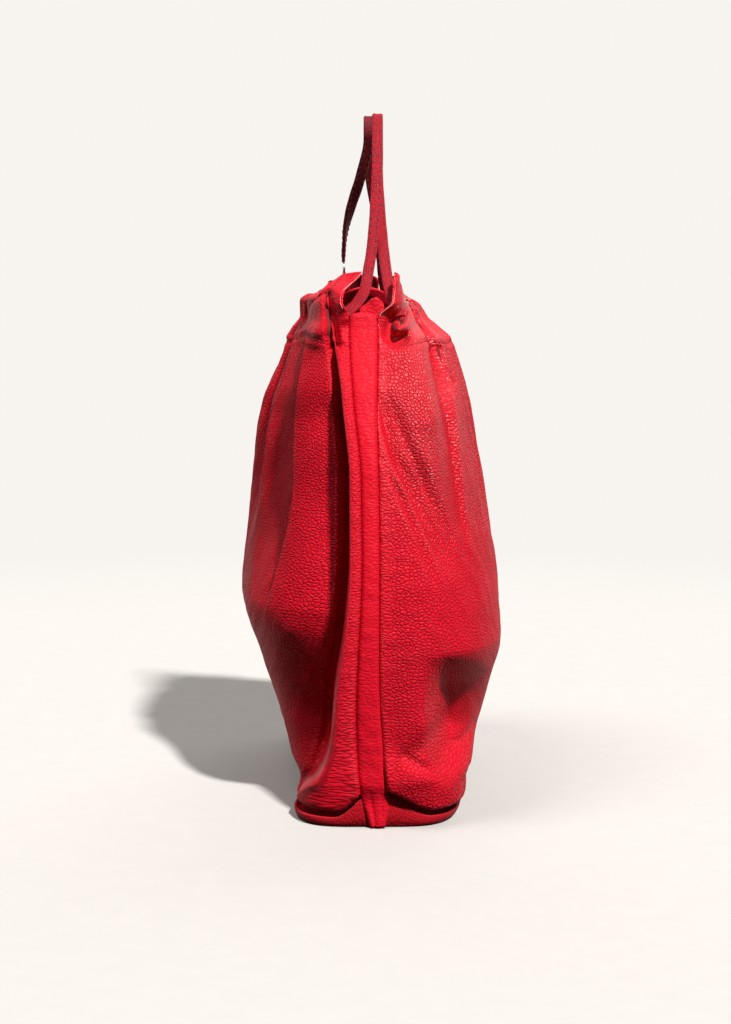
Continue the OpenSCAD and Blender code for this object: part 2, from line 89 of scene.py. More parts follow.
# The slump above the back panel's near corner: (height, depth)
RIGHT_UNDERSIDE = ((22, 0), (30, 9), (37, 29), (44, 42), (54, 47), (68, 44), (80, 35), (90, 22), (99, 9),
                   (107, 0))
BACK_FOLDS = (
    Fold(((140, 26), (184, 26.5), (226, 27), (288, 29), (326, 30)),
         ((150, 0), (190, 2.5), (230, 5), (285, 9), (300, 5), (326, 3)), 11, 0.3, 1.8),
    Fold(((160, 17), (170, 15.5), (190, 12), (212, 8), (226, 5), (262, 1)),
         ((150, 0), (175, 4), (215, 8), (245, 6), (268, 0)), 2.6, 0.3, 9),
    Fold(((150, 13), (170, 11), (190, 8), (206, 5), (225, 1.5)),
         ((145, 0), (165, 1.6), (200, 2.4), (220, 1.4), (230, 0)), 1.4, 0.2, 3),
    Fold(((170, 21), (190, 17.5), (212, 13), (232, 9), (262, 4)),
         ((165, 0), (190, 1.6), (220, 2.6), (245, 2), (266, 0)), 1.5, 0.2, 3),
)
# Pleats: angle at the casing, angle lower down, share of depth, spread, height where they end
FRONT_PLEATS = ((62, 56, 1, 10, 150), (89, 91, 1.2, 11, 120), (116, 123, 1, 10, 150),
                (145, 150, 0.9, 9, 105))
BACK_PLEATS = ((63, 57, 0.9, 10, 140), (92, 88, 1.1, 11, 170), (118, 124, 1, 10, 130),
               (146, 150, 0.9, 9, 150))
FRONT_GATHERS = (Gather(55, 3, 6), Gather(76, 3, 6), Gather(103, 3, 6), Gather(131, 3, 7),
                 Gather(162, 3, 6))
BACK_GATHERS = (Gather(46, 3, 6), Gather(77, 3, 6), Gather(105, 3, 6), Gather(132, 3, 7),
                Gather(162, 3, 6))
# Rolls and hollows pressed into the near face: (x, z) points, width, height, and whether they are sharp
Stroke = namedtuple("Stroke", "points width height sharp")
STROKES = (
    Stroke(((-31.4, 321), (-32.7, 313), (-33.3, 305), (-34, 300)), 8, 7.5, False),
    Stroke(((-27.2, 323.5), (-25.8, 314), (-24.3, 308.5), (-23, 300), (-22, 293)), 2.2, -9, False),
    Stroke(((-41, 309), (-39, 317), (-34.5, 321.5), (-30, 324)), 1.1, -5, True),
    Stroke(((-46, 309), (-44.5, 319), (-40, 323.5)), 5, 6, False),
    Stroke(((-21, 326), (-20, 318), (-17, 310)), 4, 4, False),
    Stroke(((-48, 297), (-34, 297.5), (-25, 298.5)), 1.4, -1.2, False),
    Stroke(((-47, 304), (-34, 303), (-26, 304)), 4, 3, False),
    Stroke(((29.5, 323), (29.4, 314), (25.6, 308.6), (21, 304.8), (16.6, 303.2)), 3.0, 9, False),
    Stroke(((22.2, 322), (22.6, 315.5), (20.3, 310.2), (17.6, 307.4)), 1.8, -8, False),
    Stroke(((12.6, 309), (10.8, 303.5), (10.9, 298.6), (14, 296), (19, 297.4)), 3.6, -10, False),
    Stroke(((16.6, 329.5), (17.3, 319.5), (14, 312.5)), 4, 3, False),
    Stroke(((34, 306), (38, 300), (44, 296)), 4, 4, False),
    Stroke(((40, 288), (44, 278), (48, 268)), 4.6, -7, False),
    Stroke(((27, 285), (33, 268), (38, 252)), 12, 7, False),
    Stroke(((27, 48), (44, 56)), 7, -3.2, False),
    Stroke(((46, 74), (36, 64)), 5, 2, False),
    Stroke(((28, 33), (44, 36), (58, 38)), 10, 3, False),
    Stroke(((51, 42), (58, 42.5), (66, 47)), 2.4, -6, False),
    Stroke(((20, 45), (27, 40), (34, 37)), 3, -3.5, False),
)
# How far each panel stands out from the seams: (height, distance)
FRONT_KEYS = ((0, 50), (10, 49), (20, 46), (32, 53), (47, 60), (63, 66), (79, 72), (95, 77), (110, 82),
              (126, 86), (186, 80.5), (250, 72), (276, 61), (292, 54), (300, 47.5), (308, 42), (318, 42),
              (326, 39))
BACK_KEYS = ((0, 53), (12, 55), (22, 57), (31, 64.5), (47, 72), (63, 77), (79, 81.5), (95, 84),
             (124, 83.5), (156, 80.5), (188, 76), (219, 73), (250, 69.5), (276, 64), (292, 57.5), (300, 47),
             (307, 38.5), (315, 34), (326, 27))
# Sideways wander of the near seam, and half the strip's width: (height, distance)
SEAM_DRIFT = ((0, 3.2), (20, 1.4), (41, -0.8), (85, -2.6), (164, -1.0), (215, -1.6), (262, -4.4),
              (313, -5.5), (328, -4.5))
STRIP_HALF = ((0, 4.6), (8, 6.2), (20, 8.0), (41, 7.6), (85, 6.4), (164, 4.8), (215, 4.8), (262, 6.7),
              (300, 8.3), (313, 8.5))
# Height of the rim, from each end of a panel to its middle
RIM_NEAR = {FRONT: ((0, 338), (4, 336), (7, 334), (10, 332), (13, 328.5), (17, 325), (30, 324), (90, 321)),
            BACK: ((0, 338), (2.5, 333.5), (5, 329.5), (10, 325), (20, 319), (30, 316.5), (90, 319))}
RIM_FAR = {FRONT: ((0, 328), (8, 326), (16, 323.5), (40, 318), (90, 321)),
           BACK: ((0, 331), (6, 326), (12, 321), (40, 317), (90, 319))}


class BagSizes(bpy.types.PropertyGroup):
    """Sizes of the bag's pieces."""

    base_length: bpy.props.FloatProperty(
        name="Base length", description="Length of the base along Y", unit="LENGTH",
        default=BASE_BOX[1].y - BASE_BOX[0].y)
    base_depth: bpy.props.FloatProperty(
        name="Base depth", description="Depth of the base along X", unit="LENGTH",
        default=BASE_BOX[1].x - BASE_BOX[0].x)
    belly_length: bpy.props.FloatProperty(
        name="Belly length", description="Length of the body at its fullest", unit="LENGTH",
        default=0.300)
    casing_length: bpy.props.FloatProperty(
        name="Casing length", description="Length of the body at the stitch line", unit="LENGTH",
        default=0.202)
    rim_length: bpy.props.FloatProperty(
        name="Rim length", description="Length of the drawn rim", unit="LENGTH", default=0.166)
    rim_height: bpy.props.FloatProperty(
        name="Rim height", description="Height of the drawn rim", unit="LENGTH", default=0.326)
    casing_height: bpy.props.FloatProperty(
        name="Casing height", description="Stitch line to rim", unit="LENGTH", default=0.034)
    corner_rise: bpy.props.FloatProperty(
        name="Corner rise", description="Rise of the casing beside the seams", unit="LENGTH",
        default=0.012)
    leather: bpy.props.FloatProperty(
        name="Leather", description="Thickness of the body leather", unit="LENGTH", default=0.0018)
    facing: bpy.props.FloatProperty(
        name="Facing", description="Thickness of the inner casing ply", unit="LENGTH", default=0.0012)
    seam_turn: bpy.props.FloatProperty(
        name="Seam turn", description="Depth of the turned-in seam allowance", unit="LENGTH",
        default=0.007)
    strip_width: bpy.props.FloatProperty(
        name="Strip width", description="Width of the side strip", unit="LENGTH", default=0.013)
    strip_top: bpy.props.FloatProperty(
        name="Strip top", description="Height of the side strip's hem", unit="LENGTH",
        default=STRIP_BOX[1].z)
    lip_height: bpy.props.FloatProperty(
        name="Lip height", description="Height of the base's turned-up edge", unit="LENGTH",
        default=0.005)
    lip_peak: bpy.props.FloatProperty(
        name="Lip peak", description="Height of that edge beside the strip", unit="LENGTH",
        default=BASE_BOX[1].z)
    base_floor: bpy.props.FloatProperty(
        name="Base floor", description="Thickness of the base floor", unit="LENGTH", default=0.0024)
    strap_width: bpy.props.FloatProperty(
        name="Strap width", description="Width of the drawcord strap", unit="LENGTH", default=0.007)
    strap_thick: bpy.props.FloatProperty(
        name="Strap thickness", description="Thickness of the drawcord strap", unit="LENGTH",
        default=0.0024)
    loop_reach: bpy.props.FloatProperty(
        name="Loop reach", description="Exit to top of a loop, along its lean", unit="LENGTH",
        default=0.126)
    loop_radius: bpy.props.FloatProperty(
        name="Loop radius", description="Half the gap between a loop's strands", unit="LENGTH",
        default=0.009)
    grain: bpy.props.FloatProperty(
        name="Grain", description="Size of one pebble of the leather's grain", unit="LENGTH",
        default=0.0023)
    stitch_pitch: bpy.props.FloatProperty(
        name="Stitch pitch", description="Distance between seam stitches", unit="LENGTH", default=0.0034)
    strap_pitch: bpy.props.FloatProperty(
        name="Strap stitch pitch", description="Distance between strap stitches", unit="LENGTH",
        default=0.0048)
    thread: bpy.props.FloatProperty(
        name="Thread", description="Thickness of the thread", unit="LENGTH", default=0.0009)


class BagColours(bpy.types.PropertyGroup):
    """Colours of the bag and its stage."""

    leather: bpy.props.FloatVectorProperty(
        name="Leather", description="Grain side of the leather", subtype="COLOR", size=3,
        default=(0.62, 0.005, 0.020))
    # Grain valley colours: the leather between the pebbles is painted darker than their tops, as painted
    # shade in the grain's valleys.
    valley: bpy.props.FloatVectorProperty(
        name="Grain valley", description="Leather between the pebbles", subtype="COLOR", size=3,
        default=(0.42, 0.003, 0.012))
    strip_valley: bpy.props.FloatVectorProperty(
        name="Strip valley", description="Leather between the finer pebbles of the strips",
        subtype="COLOR", size=3,
        default=(0.60, 0.004, 0.016))
    # The base leather is painted darker than the body leather, as painted shade under the panels' overhang.
    base: bpy.props.FloatVectorProperty(
        name="Base", description="Leather of the base, duller with wear", subtype="COLOR", size=3,
        default=(0.46, 0.008, 0.016))
    flesh: bpy.props.FloatVectorProperty(
        name="Flesh side", description="Inside of the leather", subtype="COLOR", size=3,
        default=(0.22, 0.012, 0.016))
    cut_edge: bpy.props.FloatVectorProperty(
        name="Cut edge", description="Raw edge of the leather", subtype="COLOR", size=3,
        default=(0.82, 0.30, 0.28))
    strap: bpy.props.FloatVectorProperty(
        name="Strap", description="Near drawcord strap", subtype="COLOR", size=3,
        default=(0.36, 0.004, 0.016))
    # The far strap is the same leather as the near strap, painted darker: painted shade.
    shaded_far_strap: bpy.props.FloatVectorProperty(
        name="Far strap", description="Far drawcord strap", subtype="COLOR", size=3,
        default=(0.16, 0.006, 0.014))
    thread: bpy.props.FloatVectorProperty(
        name="Thread", description="Sewing thread", subtype="COLOR", size=3,
        default=(0.30, 0.006, 0.016))
    strap_thread: bpy.props.FloatVectorProperty(
        name="Strap thread", description="Thread of the straps", subtype="COLOR", size=3,
        default=(0.10, 0.002, 0.006))
    steel: bpy.props.FloatVectorProperty(
        name="Ring", description="Ring wire", subtype="COLOR", size=3, default=(0.80, 0.80, 0.78))
    paper: bpy.props.FloatVectorProperty(
        name="Backdrop", description="Pale floor and backdrop", subtype="COLOR", size=3,
        default=(0.93, 0.905, 0.87))


class BagStage(bpy.types.PropertyGroup):
    """Camera and lights."""

    camera_distance: bpy.props.FloatProperty(
        name="Camera distance", description="Camera to the bag's middle along Y", unit="LENGTH",
        default=1.5)
    camera_height: bpy.props.FloatProperty(
        name="Camera height", description="Camera above the floor", unit="LENGTH", default=0.371)
    camera_side: bpy.props.FloatProperty(
        name="Camera side", description="Camera along X", unit="LENGTH", default=-0.0042)
    camera_pitch: bpy.props.FloatProperty(
        name="Camera pitch", description="How far the camera looks down", subtype="ANGLE",
        default=math.radians(7.375))
    lens: bpy.props.FloatProperty(
        name="Lens", description="Focal length in millimetres on a 36 mm sensor", default=79.88)
    key_turn: bpy.props.FloatProperty(
        name="Key turn", description="Key light, turned from the camera to the right", subtype="ANGLE",
        default=math.radians(29))
    key_rise: bpy.props.FloatProperty(
        name="Key rise", description="Key light above the floor", subtype="ANGLE",
        default=math.radians(50))
    key_strength: bpy.props.FloatProperty(
        name="Key strength", description="Strength of the key light", default=5.3)
    key_softness: bpy.props.FloatProperty(
        name="Key softness", description="Angle that the key light fills", subtype="ANGLE",
        default=math.radians(3.5))
    top_strength: bpy.props.FloatProperty(
        name="Top strength", description="Strength of the soft light from above left", default=1.2)
    back_strength: bpy.props.FloatProperty(
        name="Back strength", description="Strength of the soft light from behind", default=1.3)
    fill_strength: bpy.props.FloatProperty(
        name="Fill strength", description="Light from all round", default=0.03)


def smooth(low, high, x):
    """Soft step from 0 at low to 1 at high."""
    t = np.clip((x - low) / (high - low), 0.0, 1.0)
    return t * t * (3.0 - 2.0 * t)


def mix(a, b, t):
    """Straight blend from a to b."""
    return a + (b - a) * t


def bell(x, centre, spread):
    """Hump of height 1 at a centre, gone at about twice its spread."""
    return np.exp(-((x - centre) / spread) ** 2)


def curve(keys, x):
    """Smooth curve through (place, value) rows, with no overshoot between them."""
    place, value = np.array(keys, float).T
    slope = np.diff(value) / np.diff(place)
    tangent = np.zeros_like(value)
    before, after = slope[:-1], slope[1:]
    same = before * after > 0
    tangent[1:-1] = np.where(same, 2 * before * after / np.where(same, before + after, 1), 0)
    tangent[-1] = slope[-1]
    x = np.asarray(x, float)
    i = np.clip(np.searchsorted(place, x, side="right") - 1, 0, len(place) - 2)
    width = place[i + 1] - place[i]
    t = (x - place[i]) / width
    beyond = np.maximum(t - 1, 0) * width * tangent[i + 1]
    t = np.clip(t, 0, 1)
    bend = tangent[i] * t * (1 - t) ** 2 - tangent[i + 1] * t * t * (1 - t)
    return mix(value[i], value[i + 1], t * t * (3 - 2 * t)) + width * bend + beyond


def noise(x, y, seed):
    """Smooth random field from about -1 to 1, with one hump to a unit."""
    size = 64
    table = np.random.default_rng(seed).uniform(0, 2 * np.pi, (size, size))
    xi, yi = np.floor(x).astype(int), np.floor(y).astype(int)
    fx, fy = x - xi, y - yi

    def corner(dx, dy):
        turn = table[(xi + dx) % size, (yi + dy) % size]
        return np.cos(turn) * (fx - dx) + np.sin(turn) * (fy - dy)

    sx, sy = smooth(0, 1, fx), smooth(0, 1, fy)
    return 1.5 * mix(mix(corner(0, 0), corner(1, 0), sx), mix(corner(0, 1), corner(1, 1), sx), sy)


def unit(v):
    """Vectors at length 1."""
    return v / np.linalg.norm(v, axis=-1, keepdims=True)


def spread_max(field, reach):
    """Largest value of a grid within reach steps each way."""
    out = field
    for axis in (0, 1):
        padded = np.pad(out, [(reach, reach) if k == axis else (0, 0) for k in (0, 1)], mode="edge")
        steps = [np.take(padded, range(k, k + out.shape[axis]), axis) for k in range(2 * reach + 1)]
        out = np.max(steps, axis=0)
    return out


class BagShape:
    """The bag's surfaces in millimetres. Angle runs round a panel, near seam 0 to far seam 180."""

    tray_squareness = 4.6
    belly_share = 0.38
    ply_gap = 0.35
    edge_round = 2.6
    exit_lean = math.radians(30)
    exit_inset = 7.6
    mouth_lean = 4
    pleat_depth = 10
    lip_middle = 1.5
    # Degrees over which the seam's wander and the open mouth's gap reach into a panel
    drift_spread = 26
    gap_spread = 11
    # Millimetres of leather to a degree, for wrinkles and facings, and for the seam edges
    wrinkle_scale = 2.3
    edge_scale = 2.35
    # The ring's place on the far loop: x, the strand's foot above it, and the tab's ends below it
    ring_side = -19.0
    ring_strand = 19.05
    tab_reach = (-3, 7.6)
    # Drawcords: share of the casing's height, and how far they arch over the open gap
    cord_level = {NEAR: 0.62, FAR: 0.27}
    arch_out = 26
    arch_rise = 10
    strap_seam = 1.3
    loop_top = {NEAR: 3.5, FAR: -2.0}
    gap_reach = {(NEAR, FRONT): -17.0, (NEAR, BACK): 13.2, (FAR, FRONT): -25.5, (FAR, BACK): 13.2}
    gap_tip = {(NEAR, FRONT): -6.5, (NEAR, BACK): 13.5, (FAR, FRONT): -23.0, (FAR, BACK): 13.5}

    def __init__(self, sizes):
        for name in BagSizes.__annotations__:
            setattr(self, name, getattr(sizes, name) / MM)
        self.tray_a = self.base_depth / 2
        self.tray_b = self.base_length / 2
        self.stitch_z = self.rim_height - self.casing_height
        self.tuck = self.leather + self.ply_gap + 0.5
        self.tunnel = self.strap_thick + 2 * self.ply_gap + 2
        self.length_keys = ((0, self.tray_b - 3), (12, self.tray_b - 1), (38, self.belly_length / 2 - 3),
                            (self.belly_share * self.stitch_z, self.belly_length / 2),
                            (self.stitch_z - 77, self.casing_length / 2 + 35),
                            (self.stitch_z - 30, self.casing_length / 2 + 18),
                            (self.stitch_z, self.casing_length / 2), (self.rim_height, self.rim_length / 2))
        self.exit_y = self.rim_length / 2 - self.exit_inset

    def lean(self, z):
        """How far the bag leans to its front towards the mouth."""
        return -self.mouth_lean * smooth(0.45 * self.rim_height, self.strip_top, z)

    def half_strip(self, z):
        """Half the side strip's width."""
        return curve(STRIP_HALF, np.minimum(z, self.strip_top)) * self.strip_width / DRAWN_STRIP

    def lip(self, x):
        """Height of the base's turned-up edge, highest beside the strips."""
        away = np.abs(x - self.lip_middle)
        near_strip = 1 - np.where(x < self.lip_middle, smooth(4, 25, away), smooth(4, 36, away))
        low = 1.3 * self.lip_height
        return low + (1.55 * self.lip_peak - low) * near_strip ** 1.2

    def rim(self, side, angle):
        """Height of a panel's rim."""
        near = curve(RIM_NEAR[side], np.minimum(angle, 90))
        far = curve(RIM_FAR[side], np.minimum(180 - angle, 90))
        return np.where(angle < 90, near, far) + self.rim_height - DRAWN_RIM

    def seam_drift(self, angle, z):
        """Sideways wander of the near seam."""
        return (curve(SEAM_DRIFT, z) - self.lean(z)) * bell(angle, 0, self.drift_spread)

    @staticmethod
    def plan(angle, a, b, n):
        """Point of a rounded oblong seen from above, half sizes a and b, squareness n."""
        s, c = np.sin(np.radians(angle)), np.cos(np.radians(angle))
        r = ((np.abs(s) / a) ** n + (np.abs(c) / b) ** n) ** (-1 / n)
        return r * s, -r * c

    @staticmethod
    def plan_normal(x, y, a, b, n):
        """Outward direction at a point of that oblong."""
        gx = (np.abs(x) / a) ** (n - 1) / a
        gy = np.sign(y) * (np.abs(y) / b) ** (n - 1) / b
        size = np.hypot(gx, gy)
        return gx / size, gy / size

    def gap_shift(self, side, end, z):
        """How far a panel's end is drawn aside at the open mouth."""
        start = self.lean(self.strip_top) + side * (self.half_strip(self.strip_top) + self.ply_gap)
        low, high = (-2, 7) if end < 0 else (3, 9)
        drawn = smooth(self.strip_top + low, self.strip_top + high, z)
        edge = mix(start, self.gap_reach[end, side], drawn)
        tip = smooth(self.rim_height - 2, self.rim_height + self.corner_rise, z)
        edge = mix(edge, self.gap_tip[end, side], tip)
        seam = self.lean(z) + side * (self.half_strip(z) + self.ply_gap)
        return np.where(z < self.strip_top - 2, 0, edge - seam)

    def fold(self, f, angle, z):
        """Depth of one fold."""
        d = angle - curve(f.path, z)
        low, high = f.depth[0][0], f.depth[-1][0]
        depth = np.where(z < low, 0, np.maximum(curve(f.depth, np.minimum(z, high)), 0))
        return depth * np.where(d < 0, smooth(-f.drop, 0, d), 1 - smooth(f.hold, f.rise, d))

    def pleat(self, p, angle, z):
        """Depth of one pleat, from the stitch line down."""
        high, low, share, spread, end = p
        d = angle - mix(low, high, smooth(end, self.stitch_z, z))
        shape = 0.65 * bell(d, 0, spread) + 0.35 * np.exp(-np.abs(d) / (0.35 * spread))
        fade = 1 - 0.45 * smooth(self.stitch_z - 6, self.stitch_z + 6, z)
        return self.pleat_depth * share * shape * smooth(end, self.stitch_z, z) * fade

    def stitch_line(self, side, angle):
        """Height of the casing's stitch line."""
        wave = 1.6 * np.sin(np.radians(angle * 9)) * smooth(30, 50, np.minimum(angle, 180 - angle))
        rise = 6 * bell(angle, 24, 16) if side < 0 else 3 * bell(angle, 22, 12)
        return self.stitch_z + wave + rise

    def depth(self, side, angle, z):
        """How far the folds draw a panel inwards."""
        front = (FRONT_FOLDS, FRONT_PLEATS, FRONT_GATHERS)
        back = (BACK_FOLDS, BACK_PLEATS, BACK_GATHERS)
        folds, pleats, gathers = front if side < 0 else back
        total = sum(self.fold(f, angle, z) for f in folds) + sum(self.pleat(p, angle, z) for p in pleats)
        if side < 0:
            far = Fold(SLOT_PATH, ((8, 0), (22, 4), (85, 8), (250, 8), (285, 5), (326, 3)), 2.0, 1.0, 16)
            total = total + self.fold(far, 180 - angle, z)
            edge = curve(SLOT_PATH, z)
            roll = np.sin(np.pi * np.clip(angle / edge, 0, 1)) ** 0.8
            total = total - 2.2 * roll * smooth(20, 60, z) * (1 - smooth(270, 300, z))
            total = total - 5 * bell(angle, 44, 9) * bell(z, 215, 65)
        else:
            total = total + 3.5 * bell(angle, 150, 12) * bell(z, 80, 30)
            total = total - 2.2 * bell(angle, 16, 7) * bell(z, 245, 30)
        line = self.stitch_line(side, angle)
        lift = smooth(line - 2, line + 12, z)
        for g in gathers:
            total = total - g.out * bell(angle, g.angle, g.spread) * lift
        total = total + 0.7 * bell(z, line, 1.3)
        return total - 0.5 * bell(z, line + 3.2, 1.8) - 0.4 * bell(z, line - 3, 1.8)

    def wrinkles(self, side, angle, z):
        """Fine creases: across the panel beside the seams, at a slant further round."""
        reach = angle * self.wrinkle_scale
        seam = np.minimum(angle, 180 - angle)
        across = noise(reach / 13 + 7, z / 4.6, 11 + side)
        slant = noise((reach + 0.7 * z) / 7.5, (z - 0.5 * reach) / 22, 23 + side)
        broad = noise(reach / 30, z / 36, 31 + side)
        near = 1 - smooth(3, 16, seam)
        low = (1 - smooth(80, 125, z)) * smooth(25, 45, seam)
        total = 0.38 * across * near + 0.34 * slant * (1 - 0.7 * near) * (1 - 0.8 * low)
        total = total + 1.1 * broad * smooth(1, 9, seam)
        if side > 0:
            beside = bell(angle - curve(BACK_FOLDS[1].path, z), -1.5, 5)
            beside = beside * smooth(150, 180, z) * (1 - smooth(245, 272, z))
            total = total + 0.75 * beside * noise((reach + 0.75 * z) / 4.2, (z - 0.5 * reach) / 26, 29)
        return total

    def set_back(self, side, angle, z):
        """How far the near part of a panel slumps back from its full outline."""
        if side > 0:
            inside = (z > RIGHT_UNDERSIDE[0][0]) & (z < RIGHT_UNDERSIDE[-1][0])
            slump = np.where(inside, curve(RIGHT_UNDERSIDE, z), 0)
            return slump * smooth(9, 17, angle) * (1 - smooth(30, 150, angle))
        behind = smooth(-0.8, 0, angle - curve(SLOT_PATH, z))
        wide = curve(SET_BACK, z) * (1 - smooth(40, 150, angle))
        under = np.where(z < UNDERSIDE[-1][0], curve(UNDERSIDE, z), 0) * (1 - smooth(40, 150, angle))
        return behind * (wide + under)

    def sculpt(self, points, angle):
        """Presses the near face's rolls and hollows into a grid of points."""
        x, z = points[..., 0], points[..., 2]
        total = np.zeros_like(x)
        for s in STROKES:
            gap = np.full_like(x, np.inf)
            for (x0, z0), (x1, z1) in zip(s.points, s.points[1:]):
                along = ((x - x0) * (x1 - x0) + (z - z0) * (z1 - z0)) / ((x1 - x0) ** 2 + (z1 - z0) ** 2)
                along = np.clip(along, 0, 1)
                gap = np.minimum(gap, np.hypot(x - mix(x0, x1, along), z - mix(z0, z1, along)))
            share = gap / s.width
            total += s.height * (np.exp(-share) if s.sharp else np.exp(-share ** 2))
        return points - np.stack([0 * x, total * (1 - smooth(50, 85, angle)), 0 * x], -1)

    def shell(self, side, angle, z, depth, ply=0.0, back=None):
        """Points of a panel, pushed in by depth and by whole plies."""
        n = mix(self.tray_squareness, 2.25, smooth(-40, 0.62 * self.rim_height, z))
        off = self.half_strip(z) + self.ply_gap
        sway = 7 * noise(angle / 24, angle * 0 + 0.5, 19 + side) * smooth(70, 110, angle) * smooth(20, 60, z)
        a = curve(FRONT_KEYS if side < 0 else BACK_KEYS, z + sway * (1 - smooth(200, 260, z))) - off
        b = curve(self.length_keys, z)
        px, py = self.plan(angle, a, b, n)
        qx, qy = self.plan_normal(px, py, a, b, n)
        polar = np.degrees(np.arctan2(off + px, -py))
        foot_a, foot_b = self.tray_a - self.tuck - ply, self.tray_b - self.tuck - ply
        tx, ty = self.plan(polar, foot_a, foot_b, self.tray_squareness)
        top = self.lip(side * (off + px)) + 2.0
        out = smooth(top, top + 4, z)
        away = smooth(14, 30, np.minimum(angle, 180 - angle))
        end_lobe = 1 - 0.55 * smooth(18, 45, np.minimum(angle, 180 - angle))
        bulge = 6 * end_lobe * bell(z, top + 6, np.where(z < top + 6, 5, 16))
        if side < 0:
            bulge = bulge + 1.5 * bell(z, top + 4, 4) * away
        push = bulge - depth - ply
        x = mix(tx - off, px + qx * push, out)
        y = mix(ty, py + qy * push, out)
        x = np.maximum(x, ply)
        y = y + out * (self.set_back(side, angle, z) if back is None else back)
        shift = (self.gap_shift(side, NEAR, z) * bell(angle, 0, self.gap_spread)
                 + self.gap_shift(side, FAR, z) * bell(angle, 180, self.gap_spread))
        droop = 1.2 * out * bell(z, top + 4, 3.5)
        x = side * (off + x)
        x = mix(x * self.waist(x, y), x, smooth(10, 30, z))
        return np.stack([self.lean(z) + self.seam_drift(angle, z) + x + shift, y, z - droop], -1)

    @staticmethod
    def waist(x, y):
        """Draws the base's front side in between its ends."""
        return 1 - 0.15 * np.where(x < 0, 1 - smooth(70, 125, np.abs(y)), 0)

    def edge_roll(self, angle, z):
        """Rounding of a panel's long edges into the seams, and the flare of its ends at the mouth."""
        reach = np.minimum(angle, 180 - angle) * self.edge_scale
        s = np.minimum(reach, self.edge_round)
        roll = self.edge_round - np.sqrt(np.maximum(self.edge_round ** 2 - (self.edge_round - s) ** 2, 0))
        closed = 1 - smooth(self.strip_top - 16, self.strip_top - 5, z)
        flare = 6 * np.maximum(1 - reach / 10, 0) ** 1.7 * smooth(self.strip_top - 8, self.strip_top + 5, z)
        return roll * closed - flare

    def turn_depth(self, z):
        """Depth of a panel's turned-in seam edge, shallow at its foot and its head."""
        up = smooth(self.lip_peak + 4, self.lip_peak + 16, z)
        up = up * (1 - smooth(self.strip_top - 32, self.strip_top - 18, z))
        return 0.7 + (self.seam_turn - 0.7) * up

    def along_loop(self, end):
        """Direction in which a loop stands up from its exits."""
        return np.array([0, -end * math.sin(self.exit_lean), math.cos(self.exit_lean)])

    def across_loop(self, end):
        """Direction from one strand of a loop to the other."""
        return np.array([0, end * math.cos(self.exit_lean), math.sin(self.exit_lean)])

    def on_loop(self, end, x, h, off):
        """Points of a loop: x, height from the exits along the lean, and distance across."""
        h, off, x = np.broadcast_arrays(np.asarray(h, float), off, x)
        start = np.stack([x, np.full_like(h, end * self.exit_y), np.full_like(h, self.rim_height)], -1)
        return start + h[..., None] * self.along_loop(end) + off[..., None] * self.across_loop(end)


class Signal:
    """A shader socket that takes part in Python expressions."""

    def __init__(self, finish, socket):
        self.finish = finish
        self.socket = socket

    def math(self, operation, a, b):
        return self.finish.add("ShaderNodeMath", {"operation": operation}, {0: a, 1: b})

    def __add__(self, other):
        return self.math("ADD", self, other)

    def __sub__(self, other):
        return self.math("SUBTRACT", self, other)

    def __rsub__(self, other):
        return self.math("SUBTRACT", other, self)

    def __mul__(self, other):
        return self.math("MULTIPLY", self, other)

    __radd__ = __add__
    __rmul__ = __mul__


class Finish:
    """A material under construction."""

    def __init__(self, name):
        self.material = bpy.data.materials.new(name)
        self.material.use_nodes = True
        self.tree = self.material.node_tree
        self.tree.nodes.clear()

    def add(self, kind, settings=None, values=None, out=0):
        """Adds a node: settings first, then socket values or links; gives one of its outputs."""
        node = self.tree.nodes.new(kind)
        for name, value in (settings or {}).items():
            setattr(node, name, value)
        for name, value in (values or {}).items():
            if isinstance(value, Signal):
                self.tree.links.new(value.socket, node.inputs[name])
            else:
                node.inputs[name].default_value = value
        return Signal(self, node.outputs[out]) if len(node.outputs) else node

    def step(self, value, low, high, start=0.0, stop=1.0):
        """Soft step between two values."""
        return self.add("ShaderNodeMapRange", {"interpolation_type": "SMOOTHSTEP"},
                        {0: value, 1: low, 2: high, 3: start, 4: stop})

    def blend(self, share, first, second):
        """Blend of two colours."""
        return self.add("ShaderNodeMix", {"data_type": "RGBA"}, {0: share, 6: first, 7: second}, 2)

    def attribute(self, name):
        """A number kept on the piece's own points."""
        return self.add("ShaderNodeAttribute", {"attribute_name": name}, None, "Fac")

    def noise(self, place, scale, detail, flat=False, out=0):
        """Noise texture, in the plane of the leather where it is flat."""
        settings = {"noise_dimensions": "2D"} if flat else None
        values = {"Vector": place, "Scale": scale, "Detail": detail}
        return self.add("ShaderNodeTexNoise", settings, values, out)

    def bump(self, height, strength, distance):
        """Normal of a surface raised by a height."""
        values = {"Strength": strength, "Distance": distance, "Height": height}
        return self.add("ShaderNodeBump", None, values)

    def surface(self, skin, rough, normal, specular):
        """Shader of one plain finish."""
        return self.add("ShaderNodeBsdfPrincipled", None, {
            "Base Color": skin, "Roughness": rough, "Normal": normal, "Specular IOR Level": specular})

    def close(self, shader):
        """Ends the material with its shader."""
        self.add("ShaderNodeOutputMaterial", None, {"Surface": shader})
        return self.material


RUBBED_RED = (0.86, 0.05, 0.07, 1)
DYE_RED = (0.72, 0.09, 0.10, 1)


def rgba(colour, share=1.0):
    """A colour, made darker or lighter by a share."""
    return (colour[0] * share, colour[1] * share, colour[2] * share, 1.0)


